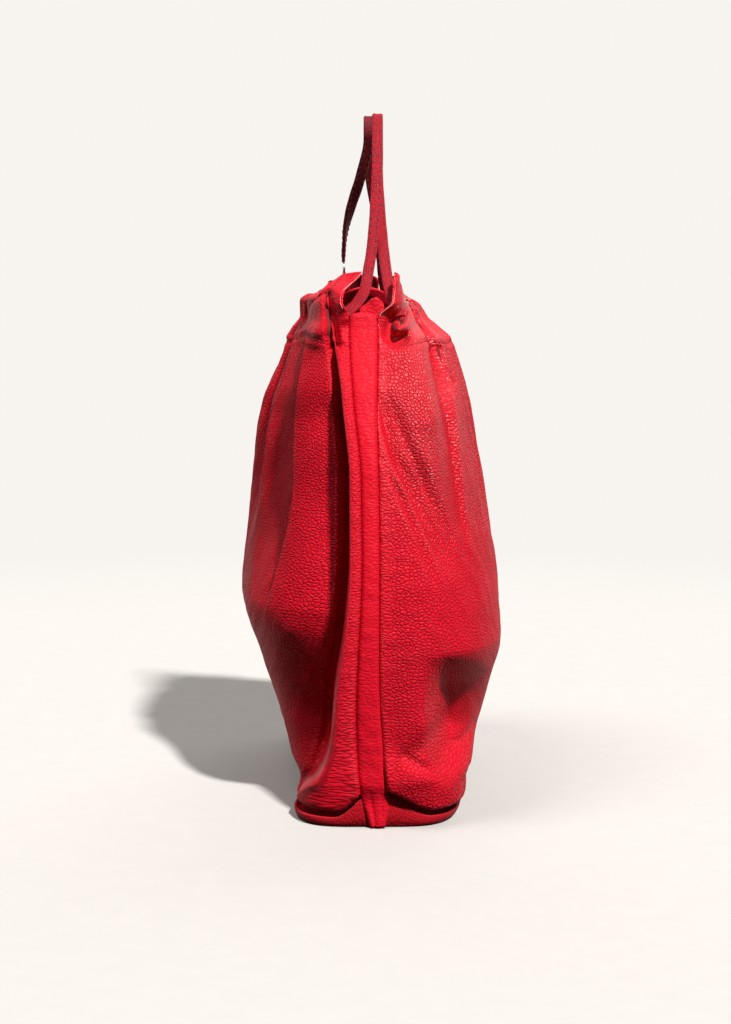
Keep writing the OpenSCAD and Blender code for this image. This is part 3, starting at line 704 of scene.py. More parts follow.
def pebbled(name, colour, valley, grain, bump=0.00054, gloss=0.46, stretch=(0.42, 1.15)):
    """Pebbled leather, its valleys painted darker as shade: creased, flattened, plain, worn and polished
    where its attributes say so.
    """
    f = Finish(name)
    place = f.add("ShaderNodeUVMap", {"uv_map": "skin"})
    warp = f.noise(place, 160, 2, True, 1)
    shift = (0.0016, 0.0016, 0)
    bent = f.add("ShaderNodeVectorMath", {"operation": "MULTIPLY_ADD"}, {0: warp, 1: shift, 2: place})

    def cells(shape, scale):
        wide = f.add("ShaderNodeMapping", None, {"Vector": bent, "Scale": (*shape, 1)})
        return f.add("ShaderNodeTexVoronoi", {"voronoi_dimensions": "2D", "feature": "DISTANCE_TO_EDGE"},
                     {"Vector": wide, "Scale": scale / grain})

    mottle = f.noise(place, 34, 4, True)
    fine = f.noise(place, 1600, 3, True)
    crease = f.attribute("crease")
    pebbles, small, ridges = cells((0.8, 1.1), 1.0), cells((0.85, 1.1), 2.1), cells(stretch, 1.0)
    edge = pebbles + crease * (ridges - pebbles)
    lively = (1 - 0.4 * f.attribute("flat")) * (1 - f.attribute("plain"))
    rise = f.add("ShaderNodeMapRange", None, {0: edge, 1: 0.0, 2: 0.42})
    dome = 1 - (1 - rise) * (1 - rise)
    height = lively * (dome + 0.12 * f.step(small, 0.0, 0.35)) + 0.05 * fine
    # tone is low in the valleys between pebbles, where the skin blends to the valley colour: painted shade
    # in the grain.
    tone = 1 - lively * (1 - f.step(edge, 0.0, 0.16))
    skin = f.blend(tone, rgba(valley), rgba(colour))
    skin = f.blend(f.step(mottle, 0.35, 0.75, 0.0, 0.3), skin, rgba(valley))
    skin = f.blend(f.attribute("wear") * tone * 0.25, skin, RUBBED_RED)
    rough = gloss + 0.14 * (1 - tone) + 0.10 * mottle - 0.14 * f.attribute("flat")
    normal = f.bump(height, 0.85, bump)
    dull = f.surface(skin, rough, normal, 0.09)
    shiny = f.surface(skin, rough - 0.16, normal, 0.5)
    return f.close(f.add("ShaderNodeMixShader", None, {0: f.attribute("polish"), 1: dull, 2: shiny}))


def suede(name, colour):
    """Flesh side: matt, with a short nap."""
    f = Finish(name)
    place = f.add("ShaderNodeTexCoord", None, None, "Object")
    nap, broad = f.noise(place, 900, 4), f.noise(place, 45, 3)
    skin = f.blend(f.step(nap * 0.5 + broad * 0.5, 0.35, 0.65), rgba(colour, 0.62), rgba(colour, 1.15))
    return f.close(f.surface(skin, 0.85, f.bump(nap, 0.5, 0.0004), 0.25))


def raw_edge(name, colour):
    """Cut edge: pale fibres, a little red dye left in places."""
    f = Finish(name)
    place = f.add("ShaderNodeTexCoord", None, None, "Object")
    fibre, stain = f.noise(place, 1100, 4), f.noise(place, 120, 2)
    skin = f.blend(f.step(stain * 0.6 + fibre * 0.4, 0.38, 0.66), rgba(colour), DYE_RED)
    return f.close(f.surface(skin, 0.7, f.bump(fibre, 0.5, 0.0003), 0.3))


def strap_leather(name, colour):
    """Smooth strap leather with a fine grain and lighter, rubbed edges."""
    f = Finish(name)
    place = f.add("ShaderNodeUVMap", {"uv_map": "skin"})
    cells = f.add("ShaderNodeTexVoronoi", {"voronoi_dimensions": "2D", "feature": "DISTANCE_TO_EDGE"},
                  {"Vector": place, "Scale": 700})
    mottle = f.noise(place, 90, 4, True)
    grain = f.step(cells, 0.0, 0.3)
    skin = f.blend(f.step(mottle * 0.7 + grain * 0.3, 0.3, 0.75), rgba(colour, 0.70), rgba(colour, 1.2))
    skin = f.blend(f.attribute("wear") * 0.5, skin, rgba(colour, 1.7))
    return f.close(f.surface(skin, 0.42 + 0.2 * mottle, f.bump(grain + mottle, 0.55, 0.0004), 0.16))


def thread_finish(name, colour):
    """Waxed sewing thread."""
    f = Finish(name)
    place = f.add("ShaderNodeTexCoord", None, None, "Object")
    twist = f.noise(place, 1500, 2)
    skin = f.blend(f.step(twist, 0.35, 0.65), rgba(colour, 0.75), rgba(colour, 1.25))
    return f.close(f.surface(skin, 0.5, f.bump(twist, 0.4, 0.0002), 0.4))


def plated_steel(name, colour):
    """Polished wire with a little tarnish."""
    f = Finish(name)
    place = f.add("ShaderNodeTexCoord", None, None, "Object")
    haze = f.noise(place, 500, 4)
    skin = f.blend(f.step(haze, 0.45, 0.75), rgba(colour), rgba(colour, 0.55))
    return f.close(f.add("ShaderNodeBsdfPrincipled", None, {
        "Base Color": skin, "Roughness": 0.14 + 0.22 * haze, "Metallic": 1.0}))


def paper_floor(name, colour, reach):
    """Pale paper: lit and shadowed near the object, plain backdrop colour further off.

    Only the camera and mirror-like surfaces see it pale; what it throws back on the object is dim.
    """
    f = Finish(name)
    place = f.add("ShaderNodeTexCoord", None, None, "Object")
    distance = f.add("ShaderNodeVectorMath", {"operation": "LENGTH"}, {0: place}, 1)
    tooth = f.noise(place, 60, 3)
    skin = f.blend(f.step(tooth, 0.3, 0.7), rgba(colour, 0.55), rgba(colour, 0.56))
    lit = f.add("ShaderNodeBsdfDiffuse", None, {"Color": skin})
    dim = f.add("ShaderNodeBsdfDiffuse", None, {"Color": rgba(colour, 0.02)})
    glow = f.add("ShaderNodeEmission", None, {"Color": rgba(colour), "Strength": 1.0})
    seen = f.add("ShaderNodeLightPath", None, None, "Is Camera Ray")
    for ray in ("Is Glossy Ray", "Is Transmission Ray"):
        seen = seen.math("MAXIMUM", seen, f.add("ShaderNodeLightPath", None, None, ray))
    pale = f.add("ShaderNodeMixShader", None, {0: f.step(distance, 0.55 * reach, reach), 1: lit, 2: glow})
    return f.close(f.add("ShaderNodeMixShader", None, {0: seen, 1: dim, 2: pale}))


FINISHES = {}


def finish(name):
    """One shared material of the bag, made when it is first asked for."""
    colours, sizes = bpy.context.scene.bag_colours, bpy.context.scene.bag_sizes
    makers = {
        "panel_leather": lambda n: pebbled(n, colours.leather, colours.valley, sizes.grain),
        "strip_leather": lambda n: pebbled(n, colours.leather, colours.strip_valley, sizes.grain,
                                           0.00028, 0.46, (0.5, 1.0)),
        # The base is painted darker: painted shade under the overhanging panels.
        "base_leather": lambda n: pebbled(n, colours.base, colours.valley, sizes.grain * 0.6, 0.0003, 0.5),
        "flesh_side": lambda n: suede(n, colours.flesh),
        "cut_edge": lambda n: raw_edge(n, colours.cut_edge),
        "strap_leather": lambda n: strap_leather(n, colours.strap),
        # Far strap: the strap leather painted darker, as painted shade.
        "far_strap_leather": lambda n: strap_leather(n, colours.shaded_far_strap),
        "red_strap_leather": lambda n: strap_leather(n, colours.leather),
        "seam_thread": lambda n: thread_finish(n, colours.thread),
        "strap_thread": lambda n: thread_finish(n, colours.strap_thread),
        "ring_steel": lambda n: plated_steel(n, colours.steel),
        "paper": lambda n: paper_floor(n, colours.paper, 1.1),
    }
    if name not in FINISHES:
        FINISHES[name] = makers[name](name)
    return FINISHES[name]


def mesh_object(name, points, faces, slots, face_slot=None, uv=None, attributes=None):
    """A mesh from points in millimetres, its faces turned outwards."""
    points = np.asarray(points, float) * MM
    tri = np.array([(f[0], f[k], f[k + 1]) for f in faces for k in range(1, len(f) - 1)])
    a, b, c = points[tri[:, 0]], points[tri[:, 1]], points[tri[:, 2]]
    volume = np.einsum("ij,ij->i", a, np.cross(b, c)).sum()
    if volume < 0:
        faces = [tuple(reversed(f)) for f in faces]
    mesh = bpy.data.meshes.new(name)
    mesh.from_pydata([tuple(p) for p in points], [], [tuple(int(i) for i in f) for f in faces])
    for slot in slots:
        mesh.materials.append(finish(slot))
    if face_slot is not None:
        mesh.polygons.foreach_set("material_index", np.asarray(face_slot, np.int32))
    mesh.polygons.foreach_set("use_smooth", np.full(len(mesh.polygons), True))
    if uv is not None:
        corner = np.empty(len(mesh.loops), np.int32)
        mesh.loops.foreach_get("vertex_index", corner)
        layer = mesh.uv_layers.new(name="skin")
        layer.data.foreach_set("uv", (np.asarray(uv, float) * MM)[corner].ravel().astype(np.float32))
    for key, values in (attributes or {}).items():
        mark = mesh.attributes.new(key, "FLOAT", "POINT")
        mark.data.foreach_set("value", np.asarray(values, np.float32).ravel())
    obj = bpy.data.objects.new(name, mesh)
    bpy.context.scene.collection.objects.link(obj)
    return obj


def skin_faces(rows, cols):
    """Faces of a closed shell between two grids, and which side each is on: 0 outer, 1 inner, 2 edge."""
    size = rows * cols
    j, i = np.meshgrid(np.arange(rows - 1), np.arange(cols - 1), indexing="ij")
    a = (j * cols + i).ravel()
    outer = np.stack([a, a + cols, a + cols + 1, a + 1], 1)
    inner = outer[:, ::-1] + size
    up = np.arange(rows - 1) * cols
    left = np.stack([up + cols, up, up + size, up + size + cols], 1)
    right = np.stack([up, up + cols, up + cols + size, up + size], 1) + cols - 1
    row = np.arange(cols - 1)
    low = np.stack([row, row + 1, row + 1 + size, row + size], 1)
    top = np.stack([row + 1, row, row + size, row + 1 + size], 1) + (rows - 1) * cols
    edges = np.concatenate([left, right, low, top])
    faces = np.concatenate([outer, inner, edges])
    kind = np.repeat([0, 1, 2], [len(outer), len(inner), len(edges)])
    return faces.tolist(), kind


def tube_faces(rows, cols):
    """Faces of a tube made of closed rows of points."""
    return [(j * cols + i, j * cols + (i + 1) % cols, (j + 1) * cols + (i + 1) % cols, (j + 1) * cols + i)
            for j in range(rows - 1) for i in range(cols)]


def shell_object(name, outer, inner, slots, uv, attributes=None):
    """A closed leather shell from its outer and inner grids."""
    rows, cols = outer.shape[:2]
    faces, kind = skin_faces(rows, cols)
    points = np.concatenate([outer.reshape(-1, 3), inner.reshape(-1, 3)])
    both = np.concatenate([uv.reshape(-1, 2)] * 2)
    marks = {k: np.concatenate([v.ravel()] * 2) for k, v in (attributes or {}).items()}
    return mesh_object(name, points, faces, slots, kind, both, marks)


def sew(obj, body, slot, *nodes):
    """Puts a finished piece on its body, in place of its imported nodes."""
    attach(obj, body)
    if nodes:
        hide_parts(*nodes)
    return obj


def bag_shape():
    """The bag's surfaces at the sizes now set."""
    return BagShape(bpy.context.scene.bag_sizes)


def panel_columns(near_step=0.27, mid_step=1.3, far_step=0.4):
    """Angles of a panel's columns, closest beside the near seam."""
    places = [0.0]
    while places[-1] < 180:
        at = places[-1]
        edge_step, away = (near_step, at) if at < 90 else (far_step, 180 - at)
        places.append(at + float(mix(edge_step, mid_step, smooth(14, 60, away))))
    return np.array(places) * 180 / places[-1]


def panel_heights(shape, rim, foot=34, body=105, casing=42):
    """Heights of a panel's rows, for a row of rim heights."""
    low = np.linspace(shape.base_floor + shape.ply_gap, 30, foot)
    middle = np.linspace(30, shape.stitch_z - 6, body + 1)[1:]
    share = np.linspace(0, 1, casing + 1)[1:, None]
    top = mix(shape.stitch_z - 6, rim[None, :], share)
    fixed = np.concatenate([low, middle])[:, None] + np.zeros_like(rim)[None, :]
    return np.concatenate([fixed, top])


def panel_grid(shape, side):
    """Angle, height and depth grids of a panel, whose columns follow its longest folds."""
    columns = panel_columns()
    rim = shape.rim(side, columns) + 1.0 * noise(columns / 6, columns * 0 + 0.5, 5 + side)
    z = panel_heights(shape, rim)
    angle = columns[None, :] + np.zeros_like(z)
    lines = ((5.2, SLOT_PATH), (24, FRONT_FOLDS[1].path)) if side < 0 else ((28, BACK_FOLDS[0].path),)
    marks = [0] + [m for m, _ in lines] + [180]
    for j in range(z.shape[0]):
        height = float(z[j].mean())
        aims = [0] + [float(curve(path, height)) for _, path in lines] + [180]
        angle[j] = np.interp(columns, marks, aims)
    depth = shape.depth(side, angle, z) + shape.edge_roll(angle, z)
    rolled = np.clip(1 - (z[-1][None, :] - z) / 5, 0, 1) ** 2
    depth = depth + 4.5 * rolled * smooth(5, 11, np.minimum(angle, 180 - angle))
    return angle, z, depth


def make_panel(name, side):
    """One body panel: a folded shell with turned-in seam edges, marked for its finish."""
    shape = bag_shape()
    angle, z, depth = panel_grid(shape, side)
    wall = bell(angle - curve(SLOT_PATH, z), -0.3, 0.8) if side < 0 else np.zeros_like(z)
    fine = shape.wrinkles(side, angle, z) * smooth(8, 30, z) * (1 - wall)
    outer = shape.shell(side, angle, z, depth + fine)
    back = spread_max(shape.set_back(side, angle, z), 2)
    skived = smooth(7, 1, z[-1][None, :] - z)
    ply = shape.leather * (1 - 0.5 * skived)
    inner = shape.shell(side, angle, z, spread_max(depth + fine, 2), ply, back)
    pressed = shape.sculpt(outer, angle) - outer
    outer, inner = outer + pressed, inner + pressed
    turns = []
    for column, sign in ((0, 1), (-1, -1)):
        reach = np.maximum(shape.turn_depth(z[:, column]), 0.1)
        share = np.array([0.34, 0.67, 1.0])
        add = np.zeros((z.shape[0], 3, 3))
        add[..., 1] = sign * reach[:, None] * share[None, :]
        skin = outer[:, column][:, None] + add
        lining = inner[:, column][:, None] + np.zeros_like(add)
        lining[..., 1] = skin[..., 1]
        turns.append((skin, lining))
    outer = np.concatenate([turns[0][0][:, ::-1], outer, turns[1][0]], 1)
    inner = np.concatenate([turns[0][1][:, ::-1], inner, turns[1][1]], 1)

    def pad(grid):
        return np.pad(grid, ((0, 0), (3, 3)), mode="edge")

    wide, high = pad(angle), pad(z)
    belly = np.full(angle.shape[1], shape.belly_share * shape.stitch_z)
    girth = shape.shell(side, panel_columns(), belly, 0.0)
    along = np.concatenate([[0], np.cumsum(np.linalg.norm(np.diff(girth, axis=0), axis=-1))])
    across = np.concatenate([along[0] - [3, 2, 1], along, along[-1] + [1, 2, 3]])
    uv = np.stack([across[None, :] + (side + 1) * 300 + np.zeros_like(high), high], -1)
    seam = np.minimum(wide, 180 - wide)
    roll_edge = curve(SLOT_PATH, high) if side < 0 else np.full_like(high, 4.0)
    crease = (1 - smooth(0.3, 1.0, seam / roll_edge)) * (0.8 + 0.2 * noise(wide / 6, high / 40, 3))
    above = high - shape.stitch_line(side, wide)
    flat = np.maximum(smooth(0, 5, above) * (1 - 0.4 * smooth(15, 40, seam)), pad(wall))
    crease = crease * (1 - pad(wall))
    hollow = pad(depth + fine - pressed[..., 1])
    around = sum(np.roll(hollow, step, axis) for axis in (0, 1) for step in (4, -4))
    bend = hollow - 0.25 * around
    wear = np.clip(-bend * 0.9, 0, 1)
    polish = 0.85 * bell(wide, 20, 20) * smooth(140, 270, high) if side > 0 else np.zeros_like(high)
    marks = {"crease": np.clip(crease, 0, 1), "wear": wear, "flat": flat, "polish": polish,
             "plain": pad(wall)}
    return shell_object(name, outer, inner, ("panel_leather", "flesh_side", "cut_edge"), uv, marks)


class BAG_OT_panels(bpy.types.Operator):
    """Sew the front and back body panels."""

    bl_idname = "bag.panels"
    bl_label = "Body panels"

    def execute(self, context):
        for name, side in (("front_panel", FRONT), ("back_panel", BACK)):
            sew(make_panel(name + "_leather", side), "bag", "panel_leather", name)
        return {"FINISHED"}


def strip_face(shape, z):
    """How far a side strip's face lies from the middle."""
    foot = shape.tray_b + shape.ply_gap + shape.leather + 2.2
    body = curve(shape.length_keys, np.maximum(z, shape.lip_peak + 9)) + 0.4
    return mix(foot, body, smooth(2, shape.lip_peak + 10, z)) + 2.4 * bell(z, shape.lip_peak + 12, 8)


def make_strip(name, end):
    """One side strip, with rolled edges tucked into the seams and a hem at its top."""
    shape = bag_shape()
    hem_z = shape.strip_top if end < 0 else shape.rim_height + 6
    rows = np.concatenate([np.linspace(1.2, 30, 40), np.linspace(30, hem_z, 190)[1:]])
    across = np.concatenate([[-1.0, -1.0], np.sin(np.linspace(-np.pi / 2, np.pi / 2, 25)), [1.0, 1.0]])
    tuck = np.zeros(len(across))
    tuck[[0, -1]], tuck[[1, -2]] = 1.0, 0.5
    c, zr = np.meshgrid(across, rows)
    corner = 2.6 * np.abs(c) ** 3 * smooth(hem_z - 14, hem_z, zr)
    z = zr - corner
    tongue = smooth(shape.strip_top, shape.strip_top + 9, zr)
    half = shape.half_strip(zr) + 0.5 + 2 * tongue
    x = half * c
    edge = np.maximum(half * (1 - np.abs(c)), 0)
    r = 2.4
    roll = r - np.sqrt(np.maximum(r * r - (r - np.minimum(edge, r)) ** 2, 0))
    creases = noise(x / 11 + 3, zr / 5, 41) * 0.26 + noise(x / 6, (zr + x) / 9, 43) * 0.2
    creases = creases - (1.2 * bell(c, -0.3, 0.14) + 0.6 * bell(c, 0.5, 0.1)) * (1 - smooth(12, 28, zr))
    hem = 0.8 * smooth(hem_z - 9, hem_z - 7, zr) + 1.3 * bell(zr, hem_z - 2.0, 1.8)
    crown = 0.9 * (1 - c * c)
    depth = shape.seam_turn * (1 - smooth(shape.strip_top - 30, shape.strip_top - 18, zr))
    depth = depth * smooth(shape.lip_peak + 4, shape.lip_peak + 16, zr)
    inset = roll + tuck[None, :] * np.maximum(depth - r, 0.2) - crown
    inset = inset - hem * (1 - np.abs(c) ** 4) - creases * (1 - np.abs(c) ** 6)
    face = strip_face(shape, z)
    drift = shape.lean(z) + (shape.seam_drift(np.zeros_like(z), z) if end < 0 else -2 * tongue)
    outer = np.stack([drift + x, end * (face - inset), z], -1)
    thick = np.maximum(half - shape.leather, 0.4)
    inner_x = np.clip(x, -thick, thick)
    at_edge = np.abs(c) > 0.999
    inner_inset = np.where(at_edge, np.maximum(inset, tuck[None, :] * depth), shape.leather + 0.3 - crown)
    inner_inset = np.maximum(inner_inset, shape.leather - crown)
    inner = np.stack([drift + inner_x, end * (face - inner_inset), z], -1)
    uv = np.stack([x + 700 + 40 * end, zr], -1)
    crease = np.clip(0.75 + 0.25 * noise(x / 6, zr / 30, 47), 0, 1)
    wear = np.clip(roll / r, 0, 1) * 0.6 + 0.3 * hem
    return shell_object(name, outer, inner, ("strip_leather", "flesh_side", "strip_leather"), uv,
                        {"crease": crease, "wear": np.clip(wear, 0, 1)})


def make_hem_tab(name):
    """The near strip's turned-in end, which stands up behind its hem."""
    shape = bag_shape()
    u, v = np.meshgrid(np.linspace(-1, 1, 31), np.linspace(0, 1, 16))
    x = -0.2 + 8.4 * u * (1 - 0.1 * v)
    top = curve(((-9, 2), (-6, 3.6), (2.2, 9), (6, 6.5), (9, 1.5)), x)
    z = shape.strip_top - 9 + v * (top + 9)
    bend = 0.5 * noise(x / 5, z / 5, 53) + 0.8 * bell(u, 0.25, 0.35)
    y = -(shape.rim_length / 2 + 1.0) + 2.6 * v - bend * smooth(0.3, 1, v)
    outer = np.stack([x, y, z], -1)
    inner = outer + [0, shape.facing, 0]
    uv = np.stack([x + 900, z], -1)
    return shell_object(name, outer, inner, ("strip_leather", "flesh_side", "cut_edge"), uv,
                        {"crease": np.full_like(x, 0.6), "wear": 0.5 * v})


class BAG_OT_strips(bpy.types.Operator):
    """Sew the two side strips."""

    bl_idname = "bag.strips"
    bl_label = "Side strips"

    def execute(self, context):
        for name, end in (("near_side_strip", NEAR), ("far_side_strip", FAR)):
            sew(make_strip(name + "_leather", end), "bag", "strip_leather", name)
        sew(make_hem_tab("near_hem_tab"), "bag", "strip_leather")
        return {"FINISHED"}


class BAG_OT_base(bpy.types.Operator):
    """Fold the base tray with its turned-up edge."""

    bl_idname = "bag.base"
    bl_label = "Base"

    def execute(self, context):
        shape = bag_shape()
        count = 360
        turn = np.arange(count) * 360 / count
        dense = turn + 12 * np.sin(np.radians(2 * turn))
        ox, oy = shape.plan(dense, shape.tray_a, shape.tray_b, shape.tray_squareness)
        wave = 0.5 * noise(dense / 9, dense * 0, 61) + 0.35 * noise(dense / 3.5, dense * 0 + 4, 62)
        lip = shape.lip(ox) + 0.6 * wave
        t, r = shape.leather, 0.8
        rows = []
        flare = 2.4 + 0.6 * wave
        for inset, height in ((40, 0), (2.6, 0), (0.6, 0.3), (-1.0, 1.4), (-0.7 * flare, 0.4 * lip),
                              (-flare, lip - r), (0.3 - flare, lip - 0.25),
                              (t / 2 - flare, lip), (t - 0.15 - flare, lip - 0.25),
                              (t - flare, lip - r), (t - 0.5 * flare, 0.5 * lip + 0.5 * shape.base_floor),
                              (t + 0.1, shape.base_floor + 0.2), (40, shape.base_floor)):
            a, b = shape.tray_a - inset, shape.tray_b - inset
            x, y = shape.plan(dense, np.maximum(a, 1), np.maximum(b, 1), shape.tray_squareness)
            x = np.where(x > 0, 1.07 * x, x) * shape.waist(x, y)
            rows.append(np.stack([x, y, height + np.zeros(count)], -1))
        points = np.array(rows)
        total = len(points)
        faces = tube_faces(total, count)
        faces.append(tuple(range(count - 1, -1, -1)))
        faces.append(tuple((total - 1) * count + i for i in range(count)))
        reach = np.concatenate([[0], np.cumsum(np.hypot(np.diff(ox), np.diff(oy)))])
        step = np.concatenate([[0], np.cumsum(np.linalg.norm(np.diff(points, axis=0), axis=-1).mean(1))])
        uv = np.stack([np.tile(reach, (total, 1)), np.tile(step[:, None], (1, count))], -1)
        wear = np.zeros((total, count))
        wear[6:9] = 0.8
        obj = mesh_object("base_panel_leather", points.reshape(-1, 3), faces, ("base_leather",), None,
                          uv.reshape(-1, 2), {"crease": np.zeros(total * count), "wear": wear})
        sew(obj, "bag", "base_leather", "base_panel")
        return {"FINISHED"}


class BAG_OT_facings(bpy.types.Operator):
    """Line the casing with its inner plies."""

    bl_idname = "bag.facings"
    bl_label = "Casing facings"
    stand_off = ((-0.08, 0.2), (0.06, 1), (0.4, 1), (0.7, 1), (0.85, 0.3))

    def execute(self, context):
        shape = bag_shape()
        for name, side in (("front_facing", FRONT), ("back_facing", BACK)):
            columns = mix(9.0, 171.0, panel_columns(0.5, 1.6, 0.6) / 180)
            share = np.linspace(-0.08, 0.85, 26)[:, None]
            z = mix(shape.stitch_z, shape.rim(side, columns)[None, :], share)
            angle = columns[None, :] + np.zeros_like(z)
            depth = shape.depth(side, angle, z) + shape.edge_roll(angle, z)
            off = curve(self.stand_off, share) * (shape.tunnel - shape.ply_gap) + shape.ply_gap
            base = spread_max(depth, 3)
            plies = (base + off, base + off + shape.facing)
            skins = [shape.shell(side, angle, z, ply, shape.leather) for ply in plies]
            outer, inner = [shape.sculpt(skin, angle) for skin in skins]
            uv = np.stack([angle * shape.wrinkle_scale, z], -1)
            obj = shell_object(name + "_ply", outer, inner, ("flesh_side", "flesh_side", "cut_edge"), uv)
            sew(obj, "bag", "facing_leather", name)
        return {"FINISHED"}


def strap_outline(width, thick):
    """Cross-section of a folded strap: crowned faces and round edges."""
    a, c = width / 2, thick / 2
    turn = np.linspace(0, 2 * np.pi, 24, endpoint=False)
    x = np.sign(np.cos(turn)) * np.abs(np.cos(turn)) ** 0.32 * a
    y = np.sign(np.sin(turn)) * np.abs(np.sin(turn)) ** 0.62 * c
    return x, y


def strap_frame(centre, across):
    """Directions of a strap's width and of its face, at each of its centres."""
    along = unit(np.gradient(centre, axis=0))
    side = unit(across - (across * along).sum(-1, keepdims=True) * along)
    return side, np.cross(along, side)


def strap_object(name, centre, across, width, thick, slots):
    """A flat strap swept along its centres, its width lying along across."""
    centre, across = np.asarray(centre, float), np.asarray(across, float)
    side, face = strap_frame(centre, across)
    x, y = strap_outline(width, thick)
    reach = np.concatenate([[0], np.cumsum(np.linalg.norm(np.diff(centre, axis=0), axis=-1))])
    ripple = 1 + 0.03 * noise(reach / 9, reach * 0, 71)
    points = centre[:, None] + (x[None, :, None] * ripple[:, None, None]) * side[:, None]
    points = points + y[None, :, None] * face[:, None]
    points = np.concatenate([points, points[:1], points[-1:]])
    cols = points.shape[1]
    rows = len(points) - 2
    faces = tube_faces(rows, cols)
    faces.append(tuple(rows * cols + i for i in range(cols - 1, -1, -1)))
    faces.append(tuple((rows + 1) * cols + i for i in range(cols)))
    reach = np.concatenate([reach, reach[:1], reach[-1:]])
    girth = np.concatenate([[0], np.cumsum(np.hypot(np.diff(x), np.diff(y)))])
    uv = np.stack([np.tile(girth, (rows + 2, 1)), np.tile(reach[:, None], (1, cols))], -1)
    wear = np.tile(smooth(0.80, 1.0, np.abs(x) / x.max()), (rows + 2, 1))
    return mesh_object(name, points.reshape(-1, 3), faces, slots, None, uv.reshape(-1, 2), {"wear": wear})


# Course of each strand: (height from the exit along the lean, x)
STRANDS = {
    (NEAR, FRONT): ((-18, -16), (-9, -9.5), (0, -4.8), (14, -2.4), (32, 0.2), (60, 2.2), (94, 3.5),
                    (126, 3.5)),
    (NEAR, BACK): ((-18, 17), (-9, 13.2), (0, 10.8), (14, 8.8), (32, 7), (60, 5), (94, 3.5), (126, 3.5)),
    (FAR, FRONT): ((-18, -25), (-9, -21), (0, -19.3), (19, -19.3), (40, -18), (60, -14.6), (90, -7),
                   (117, -2), (126, -2)),
    (FAR, BACK): ((-18, 15), (-9, 10.5), (0, 8.5), (40, 5), (94, -2), (126, -2)),
}


def loop_rows(shape, end):
    """Centres and width directions of a handle loop: strand, top and strand."""
    reach, radius, top = shape.loop_reach, shape.loop_radius, shape.loop_top[end]
    straight = reach - radius
    start = 0.0 if end < 0 else shape.ring_strand
    sign = 1 if end < 0 else -1
    flat = np.array([1.0, 0, 0])

    def strand(side, spread, low):
        h = np.linspace(low, straight, 60)
        x = curve(STRANDS[end, side], h * DRAWN_LOOP / reach)
        return h, shape.on_loop(end, x, h, spread * smooth(low, 0.8 * reach, h))

    h, left = strand(FRONT, sign * radius, start)
    t = np.linspace(0, 1, 26)[1:-1]
    over = shape.on_loop(end, top, straight + radius * np.sin(np.pi * t), sign * radius * np.cos(np.pi * t))
    _, right = strand(BACK, -sign * radius, 0.0)
    centre = np.concatenate([left, over, right[::-1]])
    across = np.tile(flat, (len(centre), 1))
    if end > 0:
        twist = np.radians(90) * (1 - smooth(start + 4, start + 64, h))
        across[:len(h)] = np.cos(twist)[:, None] * flat + np.sin(twist)[:, None] * shape.across_loop(end)
    return centre, across


class BAG_OT_handles(bpy.types.Operator):
    """Form the two handle loops."""

    bl_idname = "bag.handles"
    bl_label = "Handle loops"

    def execute(self, context):
        shape = bag_shape()
        # The far loop gets the darker strap leather, painted shade.
        for name, end, body, slot in (("near_handle_strap", NEAR, "near_handle", "strap_leather"),
                                      ("far_handle_strap", FAR, "far_handle", "far_strap_leather")):
            centre, across = loop_rows(shape, end)
            obj = strap_object(name + "_leather", centre, across, shape.strap_width, shape.strap_thick,
                               (slot,))
            sew(obj, body, "strap_leather", name)
        return {"FINISHED"}


def cord_row(shape, side, angle, z):
    """Drawcord between the casing's plies, at a share of its height."""
    angle = np.asarray(angle, float)
    z = mix(shape.stitch_z, shape.rim(side, angle), z)
    depth = shape.depth(side, angle, z) + shape.edge_roll(angle, z)
    off = shape.leather + (shape.tunnel + shape.ply_gap) / 2
    here = shape.sculpt(shape.shell(side, angle, z, depth + off), angle)
    above = shape.sculpt(shape.shell(side, angle, z + 3, depth + off), angle)
    return here, unit(above - here)


class BAG_OT_cords(bpy.types.Operator):
    """Thread the drawcords through the casing and up to their exits."""

    bl_idname = "bag.cords"
    bl_label = "Drawcords"

    def execute(self, context):
        shape = bag_shape()
        for word, end in (("near", NEAR), ("far", FAR)):
            level = shape.cord_level[end]
            run = np.linspace(11, 169, 150)
            front, front_up = cord_row(shape, FRONT, run if end < 0 else 180 - run, level)
            back, back_up = cord_row(shape, BACK, (run if end < 0 else 180 - run)[::-1], level)
            t = np.linspace(0, 1, 30)[1:-1]
            lift = np.sin(np.pi * t)
            arch = mix(front[-1], back[0], t[:, None])
            arch[:, 1] += shape.arch_out * end * lift ** 0.65
            arch[:, 2] += shape.arch_rise * lift
            arch_up = mix(front_up[-1], back_up[0], t[:, None])
            obj = strap_object(word + "_cord_run_leather", np.concatenate([front, arch, back]),
                               np.concatenate([front_up, arch_up, back_up]), shape.strap_width,
                               shape.strap_thick, ("red_strap_leather",))
            sew(obj, "bag", "strap_leather", word + "_cord_run")
            for mark, side in (("left", FRONT), ("right", BACK)):
                h = np.linspace(-18, 0, 16)
                centre = shape.on_loop(end, curve(STRANDS[end, side], h), h, 0.0)
                obj = strap_object(f"{word}_cord_end_{mark}", centre, np.tile([1.0, 0, 0], (len(h), 1)),
                                   shape.strap_width, shape.strap_thick, ("strap_leather",))
                nodes = (word + "_cord_ends",) if side < 0 else ()
                sew(obj, word + "_cord", "strap_leather", *nodes)
        return {"FINISHED"}


